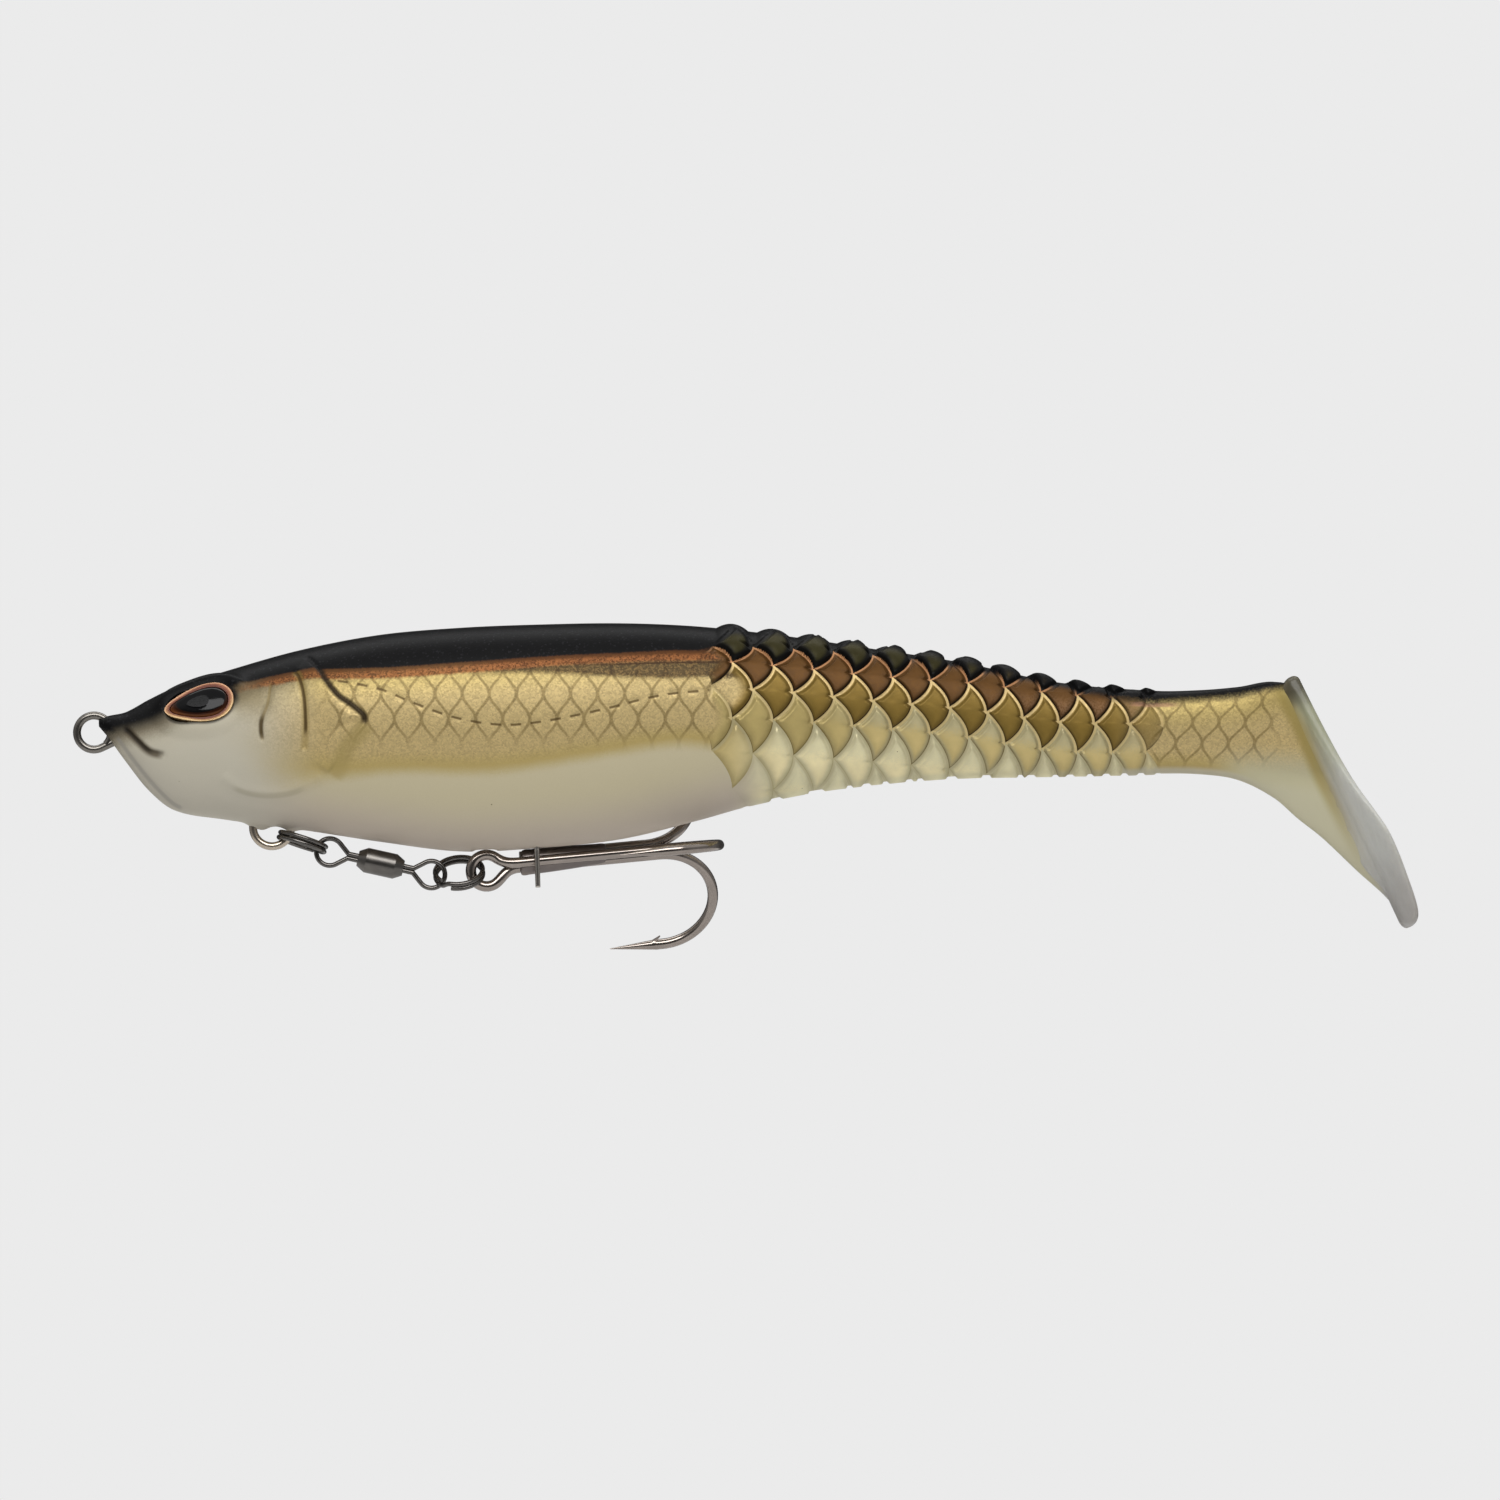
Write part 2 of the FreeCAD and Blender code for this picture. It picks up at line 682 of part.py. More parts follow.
def export():
    os.makedirs("parts", exist_ok=True)
    for node, shape in parts.items():
        solids = shape.Solids
        whole = Part.makeCompound(solids) if len(solids) > 1 else solids[0]
        whole.exportStep(f"parts/{node}.step")
        print(f"{node}: {len(solids)} solids, valid {whole.isValid()}, {whole.Volume:.1f} mm3")


build()
export()
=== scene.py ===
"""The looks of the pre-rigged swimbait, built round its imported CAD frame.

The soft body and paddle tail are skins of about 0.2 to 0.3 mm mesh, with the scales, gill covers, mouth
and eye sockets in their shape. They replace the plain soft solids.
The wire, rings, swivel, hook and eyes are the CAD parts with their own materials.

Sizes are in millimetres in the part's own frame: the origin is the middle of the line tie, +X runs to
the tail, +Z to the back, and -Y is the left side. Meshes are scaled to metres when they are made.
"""

import math
from types import SimpleNamespace

import bpy
import numpy as np
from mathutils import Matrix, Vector

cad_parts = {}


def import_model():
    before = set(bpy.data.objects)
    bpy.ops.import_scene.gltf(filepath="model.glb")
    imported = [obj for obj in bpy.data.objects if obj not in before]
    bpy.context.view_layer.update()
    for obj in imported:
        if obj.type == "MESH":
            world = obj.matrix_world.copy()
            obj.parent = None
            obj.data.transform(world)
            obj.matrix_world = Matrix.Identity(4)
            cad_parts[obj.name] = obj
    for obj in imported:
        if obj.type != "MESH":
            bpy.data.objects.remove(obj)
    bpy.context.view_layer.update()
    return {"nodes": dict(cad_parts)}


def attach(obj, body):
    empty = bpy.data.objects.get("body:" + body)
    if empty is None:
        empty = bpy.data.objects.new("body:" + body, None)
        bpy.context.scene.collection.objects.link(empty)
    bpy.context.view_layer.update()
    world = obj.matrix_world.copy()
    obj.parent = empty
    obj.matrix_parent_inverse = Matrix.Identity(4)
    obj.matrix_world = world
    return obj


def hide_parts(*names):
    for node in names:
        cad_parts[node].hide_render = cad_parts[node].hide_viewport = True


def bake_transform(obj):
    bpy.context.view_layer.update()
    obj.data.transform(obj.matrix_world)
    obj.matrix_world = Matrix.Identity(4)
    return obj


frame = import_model()

MM = 0.001

# --- driving dimensions ------------------------------------------------------------------------------

BODY_STATIONS = [  # (x, top z, bottom z, half width)
    (0.8, 2.1, 0.9, 1.0),
    (2.3, 2.6, -0.9, 1.9),
    (5.0, 3.2, -4.6, 3.4),
    (8.5, 5.1, -9.0, 5.0),
    (12.5, 7.0, -12.1, 6.3),
    (20.0, 9.4, -13.5, 7.9),
    (32.0, 12.8, -15.1, 9.2),
    (44.5, 15.2, -17.0, 9.8),
    (57.0, 16.3, -18.5, 10.1),
    (69.0, 16.8, -18.0, 10.0),
    (82.0, 17.0, -16.6, 9.6),
    (94.0, 16.5, -13.7, 9.0),
    (107.0, 15.1, -10.1, 8.1),
    (120.0, 13.2, -8.1, 7.1),
    (135.0, 10.9, -6.9, 5.9),
    (150.0, 7.8, -6.7, 4.6),
    (165.0, 6.5, -6.4, 3.3),
]
TAIL_STATIONS = [  # the wrist and the thin web in front of the paddle
    (172.0, 6.6, -6.5, 2.7),
    (178.0, 7.1, -7.4, 2.3),
    (183.6, 7.9, -10.2, 1.9),
    (187.3, 6.3, -13.4, 1.7),
    (191.1, -1.8, -16.4, 1.6),
    (196.7, -13.8, -21.7, 1.5),
    (200.4, -21.7, -25.0, 1.4),
    (202.8, -26.6, -27.6, 1.1),
]
WIDEST_SHARE = 0.53
BACK_POWER = 2.1
BELLY_POWER = 1.85
WEB_POWER = 4.5
WEB_RUN = (176, 188)  # the back grows square between these places
ROUND = 256  # samples round the body
FRONT_CROWD = 0.22  # how much wider apart the first skin's rows lie at the nose than at its end

SKINS = [  # (piece, from x, to x, rows, node, slot, bodies, blend from x, blend to x)
    ("skin_front", 0.8, 112.0, 366, "body_front", "soft_front", ("head", "mid"), 93.0, 107.0),
    ("skin_mid", 112.0, 136.0, 160, "body_mid", "soft_scaled", ("mid", "rear"), 117.0, 131.0),
    ("skin_rear", 136.0, 160.0, 160, "body_rear", "soft_scaled", ("rear", "stem"), 141.0, 155.0),
    ("skin_tail", 160.0, 202.8, 220, "tail_stem", "soft_tail", ("stem", "paddle"), 166.0, 178.0),
]

PADDLE_TOP = np.array([186.4, 0.0, 8.2])
PADDLE_FOOT = np.array([204.2, 0.0, -29.8])
PADDLE_OUTLINE = [  # (distance down from the top, half width)
    (-0.5, 0.0), (-0.3, 1.3), (0.8, 2.0), (6.0, 3.4), (14.0, 5.8), (19.0, 7.6), (23.0, 9.4),
    (27.0, 10.7), (31.0, 10.7), (35.0, 10.1), (38.4, 9.4), (40.6, 8.4), (41.8, 6.8), (42.4, 4.2),
    (42.6, 0.0),
]
PADDLE_THICKNESS = [(-0.5, 2.2), (10.0, 2.3), (20.0, 1.9), (27.0, 1.7), (42.6, 1.8)]  # down from the top
PADDLE_CUP_RADIUS = 19.0
PADDLE_ENDS = [(41.1, 1.52), (0.4, -0.92)]  # where its rounding off starts at the foot and top, and its run
PADDLE_ROWS = 190
PADDLE_ROUND = 280
FILLET_RADIUS = 1.6  # where the web's sides meet the paddle
FILLET_FROM = 1.3  # half width at which the fillet starts
FILLET_ENDS = (30.0, 37.0)  # it shrinks to nothing between these distances down

EYE_CENTRE = np.array([16.75, -5.9, 4.25])
EYE_LENGTH = 11.0
EYE_HEIGHT = 7.5
EYE_TURNS = [("Z", 12.0), ("X", 66.0), ("Z", -11.0)]
EYE_FLOOR = -1.3  # bottom of the socket under the eye
EYE_LIP = 0.22  # how high the skin stands at the rim
BROW_RISE = 0.5  # of the ridge over each eye
BROW_LIFT = 0.6  # how much of that is added upward too
BROW_OFF = 1.7  # how far outside the eye the ridge runs
FAR_OFF = 50.0  # stands for the distance from the eye of a place that isn't near it

HANGER_X = (24.74, 30.66)  # where the harness wire's two legs leave the chin
HANGER_SWELL = (0.55, 1.1)  # (rise, width) of the skin round each leg
HANGER_RIB = (0.75, 1.6, 1.1, 0.7)  # (rise, distance behind the first leg, length, width)
HOOK_EYE = (61.0, 0.3, -21.5)  # middle of the hook's eye, which presses a dent in the belly
HOOK_EYE_REACH = 3.6
HOOK_PLACE = np.array([61.0, 0.3, -20.7])  # where the axis between the hook's shanks starts
HOOK_AXIS = np.array([0.9883, 0.1213, 0.0924])
BRAZE = [  # (distance along that axis, half width, reach up, reach down) of the solder round the shanks
    (5.3, 0.5, 1.0, 1.2),
    (5.6, 1.0, 1.80, 2.0),
    (7.0, 1.25, 1.92, 2.05),
    (12.0, 1.25, 1.90, 1.85),
    (17.0, 1.15, 1.78, 1.5),
    (18.6, 0.9, 1.66, 1.3),
    (19.0, 0.4, 1.1, 0.9),
]
PIN_LINE = [  # (x, y, z, radius) down the pin at the belly
    (68.9, 1.6, -16.9, 0.42),
    (68.88, 0.2, -17.0, 0.46),
    (68.9, -0.86, -17.6, 0.46),
    (68.95, -0.95, -19.0, 0.42),
    (69.1, -0.95, -24.1, 0.38),
]

SCALE_FROM_X = 94.5
SCALE_TO_X = 167.5
COLUMN_START_X = 99.3
COLUMN_PITCH = 6.4  # of the first column of scales
PITCH_STEP = 0.1  # how much narrower each next column is
SCALE_DEPTHS = [  # how far below the back each row of scale tips lies, at four places along the body
    [(97.0, 2.7), (118.0, 1.0), (147.9, -1.3), (160.0, -1.9)],
    [(99.5, 5.0), (124.6, 3.9), (147.9, 1.75), (160.0, 1.2)],
    [(99.5, 9.0), (127.0, 7.65), (149.6, 6.05), (160.6, 5.25)],
    [(99.3, 13.7), (124.2, 12.0), (147.0, 10.8), (164.0, 9.5)],
]
SCALE_NEXT = [5.4, 5.6]  # from there to the next rows down
SCALE_ABOVE = 3.0  # from the first of those rows up to the next
FIRST_ROW = -1
BACK_WRAP = 2.2  # how much deeper the pattern counts along the middle of the back
FIRST_WHOLE = 0.2  # columns past this one are whole scales; the one before shows only its rear half
FIRST_PART = -0.85
OUTER_LEAD = 0.8  # how many columns earlier the rows on the back and belly start
LAST_COLUMN = 11.3
NODE_SPOT = 0.62  # radius of the low spot where four scales meet
PAD_RISE = 0.42
BACK_BUMP = 1.0  # how much more the first row stands out where it crosses the back
BUMP_RADIUS = 2.6
NO_EDGE = 9.0  # stands for the distance from an edge that isn't near
VALLEY = 0.55  # width of the groove between two scales
WALL = 0.34

# Lines on the head and flank, as (x, z) on the left side.
MOUTH = [(4.6, 0.7), (5.5, 0.2), (7.0, -1.3), (9.0, -3.0), (11.6, -3.6)]
GILL_FRONT = [(27.8, 7.9), (27.4, 4.6), (26.5, 2.0), (26.4, 0.2), (26.7, -1.5)]
GILL_REAR = [(31.2, 9.6), (32.2, 8.6), (33.0, 5.8), (33.3, 2.1), (33.3, -0.2), (33.1, -3.0)]
GILL_COVER = [
    (33.2, 12.0), (33.9, 11.3), (35.5, 9.4), (36.4, 8.0), (38.3, 5.7),
    (40.3, 4.3), (42.0, 2.9), (42.4, 2.1), (42.0, 1.3),
]
GILL_FOLD = [(42.3, 2.0), (41.0, 0.3), (38.9, -2.1), (38.0, -4.6), (36.7, -6.5)]
CHEEK_ARC = [(20.2, -6.6), (23.0, -8.5), (26.5, -9.3), (30.3, -9.1), (33.3, -8.0), (35.8, -6.6)]
CHIN_EDGE = [(3.6, -0.6), (6.2, -4.2), (9.2, -7.9), (12.2, -10.9), (14.0, -11.9)]
LATERAL = [
    (37.5, 8.2), (44.5, 6.8), (50.0, 4.6), (56.5, 2.3), (63.5, 1.2),
    (70.0, 1.7), (79.0, 3.5), (88.0, 5.7), (96.2, 6.6),
]
LINES = {
    "mouth": MOUTH,
    "gill_front": GILL_FRONT,
    "gill_rear": GILL_REAR,
    "gill_cover": GILL_COVER,
    "gill_fold": GILL_FOLD,
    "cheek_arc": CHEEK_ARC,
    "chin_edge": CHIN_EDGE,
    "lateral": LATERAL,
}
CREASES = [  # (line, how far the skin stands out along it, width)
    ("mouth", -0.34, 0.42),
    ("gill_front", -0.30, 0.38),
    ("gill_rear", -0.34, 0.38),
    ("cheek_arc", 0.18, 0.9),
    ("chin_edge", -0.10, 0.5),
    ("gill_cover", -0.25, 0.3),
    ("gill_fold", -0.06, 0.3),
]
GILL_STEPS = [("gill_cover", 0.62), ("gill_fold", 0.34)]  # how far each flap stands over the skin behind it
GILL_FLAP = 6.5  # length over which a flap rises to its edge
DASH_SPACING = 3.1  # of the lateral line's dashes
DASH_DEPTH = 0.12

# Where the web meets the paddle, as (x, z).
RIDGE = [
    (181.6, 12.0), (183.2, 9.6), (185.4, 5.0), (188.1, -0.6), (190.5, -6.3), (193.3, -12.0),
    (195.2, -15.7), (197.5, -20.3), (199.6, -24.4),
]
RIDGE_LEAD = 4.0  # how far along that line the paddle starts
PADDLE_RUN = 42.0  # length of the paddle down its middle

# The painted nets: (x and z of a crossing, width and height of a cell, lean).
FLANK_NET = (60.7, 6.0, 4.19, 3.9, 0.0)
WRIST_NET = (169.8, 1.6, 4.1, 3.3, 0.18)
WRIST_X = 130.0  # the wrist's net is used past here
NET_LINE = 0.095  # width of its lines, in cells

# Edges of the painted bands: (x, z).
BLACK_EDGE = [
    (0.8, -0.9), (3.0, -0.2), (5.5, 0.4), (8.5, 1.2), (11.4, 2.1), (14.0, 3.2), (18.0, 4.9), (22.3, 6.8),
    (25.0, 7.9), (31.5, 9.4), (37.7, 9.8), (46.4, 10.1), (59.5, 11.0), (72.6, 11.9), (85.7, 12.5),
    (91.0, 12.7), (95.0, 12.8), (99.0, 14.2), (107.0, 14.2), (124.0, 11.8), (137.0, 9.6), (150.0, 6.8),
    (157.0, 5.6), (164.0, 5.0), (172.0, 5.3), (179.0, 6.1), (184.0, 7.1), (188.0, 7.6),
]
COPPER_EDGE = [
    (20.0, 5.4), (24.0, 6.5), (28.0, 7.3), (33.0, 8.0), (46.4, 8.4), (59.5, 9.3), (72.6, 10.4),
    (85.7, 11.0), (98.0, 11.2),
]
GOLD_EDGE = [
    (20.0, 4.5), (28.0, -2.5), (38.0, -4.4), (47.0, -4.2), (63.0, -4.1), (75.0, -2.4), (90.0, 0.0),
    (97.0, -0.4), (112.0, -1.6), (124.0, -2.6), (150.0, -3.9), (164.0, -4.2), (174.0, -4.4),
    (182.0, -6.0), (204.0, -8.0),
]

# --- numbers -------------------------------------------------------------------------------------------


def curve(points):
    """A smooth function through (place, value) points, with each slope taken from its neighbours."""
    at, value = (np.array(c, float) for c in zip(*points))
    before = np.maximum(np.arange(len(at)) - 1, 0)
    after = np.minimum(np.arange(len(at)) + 1, len(at) - 1)
    slope = (value[after] - value[before]) / (at[after] - at[before])

    def evaluate(x):
        x = np.clip(x, at[0], at[-1])
        i = np.clip(np.searchsorted(at, x, side="right") - 1, 0, len(at) - 2)
        step = at[i + 1] - at[i]
        t = (x - at[i]) / step
        return (
            (2 * t**3 - 3 * t**2 + 1) * value[i]
            + (t**3 - 2 * t**2 + t) * slope[i] * step
            + (3 * t**2 - 2 * t**3) * value[i + 1]
            + (t**3 - t**2) * slope[i + 1] * step
        )

    return evaluate


def smooth(value, low, high):
    """0 at low, 1 at high, with a soft start and end."""
    t = np.clip((value - low) / (high - low), 0, 1)
    return t * t * (3 - 2 * t)


def bell(value, width):
    return np.exp(-((value / width) ** 2))


def beside(points, x, z):
    """(signed distance from a smooth line through points, length along it, mask that ends with it)."""
    knots = np.array(points, float)
    places = np.arange(len(knots))
    fine = np.linspace(0, len(knots) - 1, 8 * (len(knots) - 1) + 1)
    line_x = curve(list(zip(places, knots[:, 0])))(fine)
    line_z = curve(list(zip(places, knots[:, 1])))(fine)
    best = np.full(x.shape, 1e9)
    signed = np.zeros(x.shape)
    length = np.zeros(x.shape)
    run = 0.0
    for ax, az, bx, bz in zip(line_x, line_z, line_x[1:], line_z[1:]):
        dx, dz = bx - ax, bz - az
        piece = math.hypot(dx, dz)
        share = np.clip(((x - ax) * dx + (z - az) * dz) / piece**2, 0, 1)
        off_x, off_z = x - ax - share * dx, z - az - share * dz
        far = np.hypot(off_x, off_z)
        nearer = far < best
        best = np.where(nearer, far, best)
        signed = np.where(nearer, np.copysign(far, dx * off_z - dz * off_x), signed)
        length = np.where(nearer, run + share * piece, length)
        run += piece
    mask = smooth(length, 0, 0.7) * smooth(run - length, 0, 0.7)
    return signed, length, mask


STATIONS = BODY_STATIONS + TAIL_STATIONS
top_of = curve([(s[0], s[1]) for s in STATIONS])
bottom_of = curve([(s[0], s[2]) for s in STATIONS])
half_width_of = curve([(s[0], s[3]) for s in STATIONS])


def paddle_down():
    down = PADDLE_FOOT - PADDLE_TOP
    return down / np.linalg.norm(down)


def turned(points, turns, sign=1):
    """Points turned about the axes in order, by degrees."""
    for axis, degrees in turns:
        a = math.radians(degrees) * sign
        c, s = math.cos(a), math.sin(a)
        matrix = {
            "X": [[1, 0, 0], [0, c, -s], [0, s, c]],
            "Z": [[c, -s, 0], [s, c, 0], [0, 0, 1]],
        }[axis]
        points = points @ np.array(matrix).T
    return points


def eye_place(points):
    """Left-side points in the eye's own frame: along it, across it, and out of it."""
    return turned(points - EYE_CENTRE, EYE_TURNS[::-1], -1)


def eye_outline_reach(along, across):
    """How far outside the eye's teardrop outline a point of its frame lies, in mm; inside is negative."""
    a = np.arctan2(across / EYE_HEIGHT, along / EYE_LENGTH)
    c, s = np.cos(a), np.sin(a)
    edge = np.hypot(EYE_LENGTH / 2 * c, EYE_HEIGHT / 2 * s * (0.80 + 0.20 * c) * (1.0 + 0.12 * c))
    return np.hypot(along, across) - edge


# --- the scale pattern -----------------------------------------------------------------------------------


def scale_place(x, y, z):
    """(column, row, column pitch, row pitch) of the scale pattern at a place on the skin."""
    square = COLUMN_PITCH**2 - 2 * PITCH_STEP * (x - COLUMN_START_X)
    column = (COLUMN_PITCH - np.sqrt(np.maximum(square, 0.5))) / PITCH_STEP
    inward = np.clip(1 - np.abs(y) / (0.5 * half_width_of(x)), 0, 1)
    depth = top_of(x) - z - BACK_WRAP * inward**2 * (z > 0)
    tips = [curve(row)(x) for row in SCALE_DEPTHS]
    tips = [tips[0] - SCALE_ABOVE] + tips
    for step in SCALE_NEXT:
        tips.append(tips[-1] + step)
    row = (depth - tips[0]) / (tips[1] - tips[0]) + FIRST_ROW - 1
    height = tips[1] - tips[0]
    for i in range(1, len(tips) - 1):
        below = depth > tips[i]
        row = np.where(below, i + FIRST_ROW - 1 + (depth - tips[i]) / (tips[i + 1] - tips[i]), row)
        height = np.where(below, tips[i + 1] - tips[i], height)
    return column, row, COLUMN_PITCH - PITCH_STEP * column, height


def wrapped(value):
    return value - np.floor(value + 0.5)


def scale_sides(column, row, pitch, height):
    """Where a place lies in the pattern of scale edges, in mm and in columns.

    Gives the distances from the two families of edges, with the groove on their positive side, the distance
    back from the scale's own rear edge, the scale's column, and its row number.
    """
    m = np.ceil(row)
    f = row - m + 1
    low_phase = 0.5 * np.mod(m, 2) + 0.5 * (1 - f**2) - column
    high_phase = 0.5 * np.mod(m + 1, 2) + 0.5 * (1 - (1 - f) ** 2) - column
    low_size = 1 / np.sqrt(1 / pitch**2 + (f / height) ** 2)
    high_size = 1 / np.sqrt(1 / pitch**2 + ((1 - f) / height) ** 2)
    ahead, above = np.mod(low_phase, 1), np.mod(high_phase, 1)
    upper = above < ahead
    column_of = column + np.where(upper, above - 0.5 * (1 - (1 - f) ** 2), ahead - 0.5 * (1 - f**2))
    back = np.where(upper, above * high_size, ahead * low_size)
    return -wrapped(low_phase) * low_size, wrapped(high_phase) * high_size, back, column_of, m + upper


def from_node(column, row, pitch, height):
    """Distance in mm from the nearest place where four scales meet."""
    n = np.round(row)
    return np.hypot(wrapped(column - 0.5 * np.mod(n, 2)) * pitch, (row - n) * height)


def pad_height(side):
    """1 on a scale, 0 in the groove beside its edge."""
    return np.where(side < VALLEY / 2, smooth(-side, -0.05, WALL), smooth(side, VALLEY, VALLEY + WALL))


def scale_share(x, y, z, back, column, number):
    """How far the pattern stands out here, from 0 to 1: whole scales, then the rear halves before them."""
    shifted = column + OUTER_LEAD * ((number < 0.5) | (number > 3.5))
    part = smooth(back, 2.6, 0.6) * (shifted > FIRST_PART) * (number > 0.5) * (number < 3.5)
    share = np.where(shifted > FIRST_WHOLE, 1.0, part) * (column < LAST_COLUMN)
    spine = np.where(z > 0, smooth(np.abs(y), 0.5, 1.2), 1.0)
    low = np.where(number > 4.5, smooth(x, 99.0, 106.0), 1.0)
    return share * spine * low * smooth(x, SCALE_FROM_X - 1.0, SCALE_FROM_X)


# --- skins -----------------------------------------------------------------------------------------------


def body_grid():
    """Every skin's rows in one grid: (points, first row of each skin)."""
    rows = [np.array([SKINS[0][1]])]
    starts = []
    for name, start, end, count, *_ in SKINS:
        starts.append(sum(len(r) for r in rows) - 1)
        share = np.linspace(0, 1, count + 1)[1:]
        if name == "skin_front":
            share = share + FRONT_CROWD * share * (1 - share)
        rows.append(start + (end - start) * share)
    x = np.concatenate(rows)[:, None]
    a = 2 * np.pi * np.arange(ROUND)[None, :] / ROUND
    c, s = np.cos(a), np.sin(a)
    top, bottom, width = top_of(x), bottom_of(x), half_width_of(x)
    middle = bottom + WIDEST_SHARE * (top - bottom)
    back = BACK_POWER + (WEB_POWER - BACK_POWER) * smooth(x, *WEB_RUN)
    power = np.where(s >= 0, back, BELLY_POWER)
    reach = np.where(s >= 0, top - middle, middle - bottom)
    y = -np.sign(c) * np.abs(c) ** (2 / power) * width
    z = middle + np.sign(s) * np.abs(s) ** (2 / power) * reach
    return np.stack([np.broadcast_to(x, z.shape), y, z], axis=-1), starts


def grid_normals(points):
    """Outward unit normals of a grid that is closed round its second direction."""
    along = np.gradient(points, axis=0)
    round_it = np.roll(points, -1, axis=1) - np.roll(points, 1, axis=1)
    normal = np.cross(along, round_it)
    size = np.linalg.norm(normal, axis=-1, keepdims=True)
    return normal / np.maximum(size, 1e-9)


def line_fields(x, z):
    return {name: beside(points, x, z) for name, points in LINES.items()}


def scale_relief(x, y, z):
    """How far the scales and the grooves between them stand out of the plain body, in mm."""
    column, row, pitch, height = scale_place(x, y, z)
    low_side, high_side, back, column_of, number = scale_sides(column, row, pitch, height)
    pad = np.minimum(pad_height(low_side), pad_height(high_side))
    pad = pad * smooth(from_node(column, row, pitch, height), NODE_SPOT * 0.6, NODE_SPOT * 1.2)
    crown = 1 - 0.5 * np.abs(wrapped(column + 0.5 * np.mod(np.ceil(row), 2)))
    size = 1 - 0.62 * smooth(row, 2.2, 3.4)
    size = size + 0.5 * smooth(z - bottom_of(x), 2.4, 0.5) * smooth(x, 150.0, 140.0)
    share = scale_share(x, y, z, back, column_of, number) * smooth(x, SCALE_TO_X, SCALE_TO_X - 4.0)
    pads = (number > -0.5) * PAD_RISE * size * (pad * (0.75 + 0.35 * crown) - 0.35)
    high_side = np.where(high_side > 0, high_side, NO_EDGE)
    low_side = np.where(low_side > 0, low_side, NO_EDGE)
    from_edge = np.where(row > -1.0, smooth(np.minimum(high_side, low_side), -0.1, 0.8), 1.0)
    from_top = np.hypot(wrapped(column) * pitch, np.maximum(row + 1.0, 0) * height)
    bumps = np.clip(1 - (from_top / BUMP_RADIUS) ** 2, 0, 1) * from_edge * smooth(x, 95.0, 97.0)
    return share * (pads + BACK_BUMP * (number < 0.5) * bumps)


def relief(x, y, z, lines):
    """How far the skin stands out of the plain body, in mm."""
    rise = scale_relief(x, y, z)
    for name, height, width in CREASES:
        signed, _, mask = lines[name]
        rise = rise + height * mask * bell(signed, width)
    for name, step in GILL_STEPS:
        signed, length, mask = lines[name]
        mask = mask * smooth(length, 0, 3.0) if name == "gill_cover" else mask
        in_front = smooth(-signed, -0.15, 0.35) * smooth(GILL_FLAP + signed, 0, GILL_FLAP)
        rise = rise + step * mask * in_front
    signed, length, mask = lines["lateral"]
    dash = smooth(np.abs(wrapped(length / DASH_SPACING)), 0.2, 0.3)
    rise = rise - DASH_DEPTH * mask * bell(signed, 0.25) * dash
    swell, width = HANGER_SWELL
    for hanger in HANGER_X:
        rise = rise + swell * bell(np.hypot(x - hanger, y), width) * (z < 0)
    rib, behind, length, width = HANGER_RIB
    return rise + rib * bell(x - HANGER_X[0] - behind, length) * bell(y, width) * (z < 0)


def with_eye_sockets(points):
    """The skin moved to meet the rims of the eyes and to make room under them."""
    near = np.abs(points[..., 0] - EYE_CENTRE[0]) < EYE_LENGTH
    left = points[near].copy()
    side = np.sign(left[:, 1])
    left[:, 1] = -np.abs(left[:, 1])
    local = eye_place(left)
    reach = eye_outline_reach(local[:, 0], local[:, 1])
    facing = smooth(-left[:, 1], 0.5, 2.0) * smooth(local[:, 2], -5.0, -3.0)
    around = (1 - smooth(reach, 0.0, 2.8)) * facing
    lip = local[:, 2] + (EYE_LIP - local[:, 2]) * around
    under = smooth(-reach, 0.15, 0.6) * facing
    brow = BROW_RISE * bell(reach - BROW_OFF, 1.1) * smooth(local[:, 1], 0.2, 2.6) * facing
    local[:, 2] = lip + (EYE_FLOOR - lip) * under + brow
    left = turned(local, EYE_TURNS) + EYE_CENTRE
    left[:, 2] = left[:, 2] + BROW_LIFT * brow
    left[:, 1] = -np.abs(left[:, 1]) * -side
    moved = points.copy()
    moved[near] = left
    return moved


def with_hook_dent(points):
    """The belly pressed clear of the hook's eye."""
    x, y, z = points[..., 0], points[..., 1], points[..., 2]
    eye_x, eye_y, eye_z = HOOK_EYE
    clear = eye_z + np.sqrt(np.maximum(HOOK_EYE_REACH**2 - (x - eye_x) ** 2, 0))
    lift = np.maximum(clear - z, 0) * smooth(1.9 - np.abs(y - eye_y), 0, 0.8)
    lift = lift * (np.abs(x - eye_x) < HOOK_EYE_REACH) * (z < 0)
    moved = points.copy()
    moved[..., 2] = z + lift
    return moved


def net_place(x, z):
    """(column, row, strength) of the fine painted net on the flank and on the wrist."""
    nets = []
    for start_x, start_z, width, height, lean in (FLANK_NET, WRIST_NET):
        row = (z - start_z) / height
        nets.append([(x - start_x - lean * (z - start_z)) / width, row])
    nets[0].append(smooth(x, 34, 39) * (1 - smooth(x, 95.5, 98)) * smooth(z, -3.4, 1.5))
    nets[1].append(smooth(x, 163.8, 165.2) * (1 - smooth(x, 182, 185)) * smooth(z, -6.0, -3.5))
    return [np.where(x > WRIST_X, wrist, flank) for flank, wrist in zip(*nets)]


def band_places(x, z):
    """Heights above the lower edges of the black, the copper and the gold paint."""
    return z - curve(BLACK_EDGE)(x), z - curve(COPPER_EDGE)(x), z - curve(GOLD_EDGE)(x)


def tail_place(x, z):
    """(distance behind the ridge between web and paddle, share of the way down it, 1 on the tail)."""
    signed, length, _ = beside(RIDGE, x, z)
    return signed, (length - RIDGE_LEAD) / PADDLE_RUN, smooth(x, 172, 180)


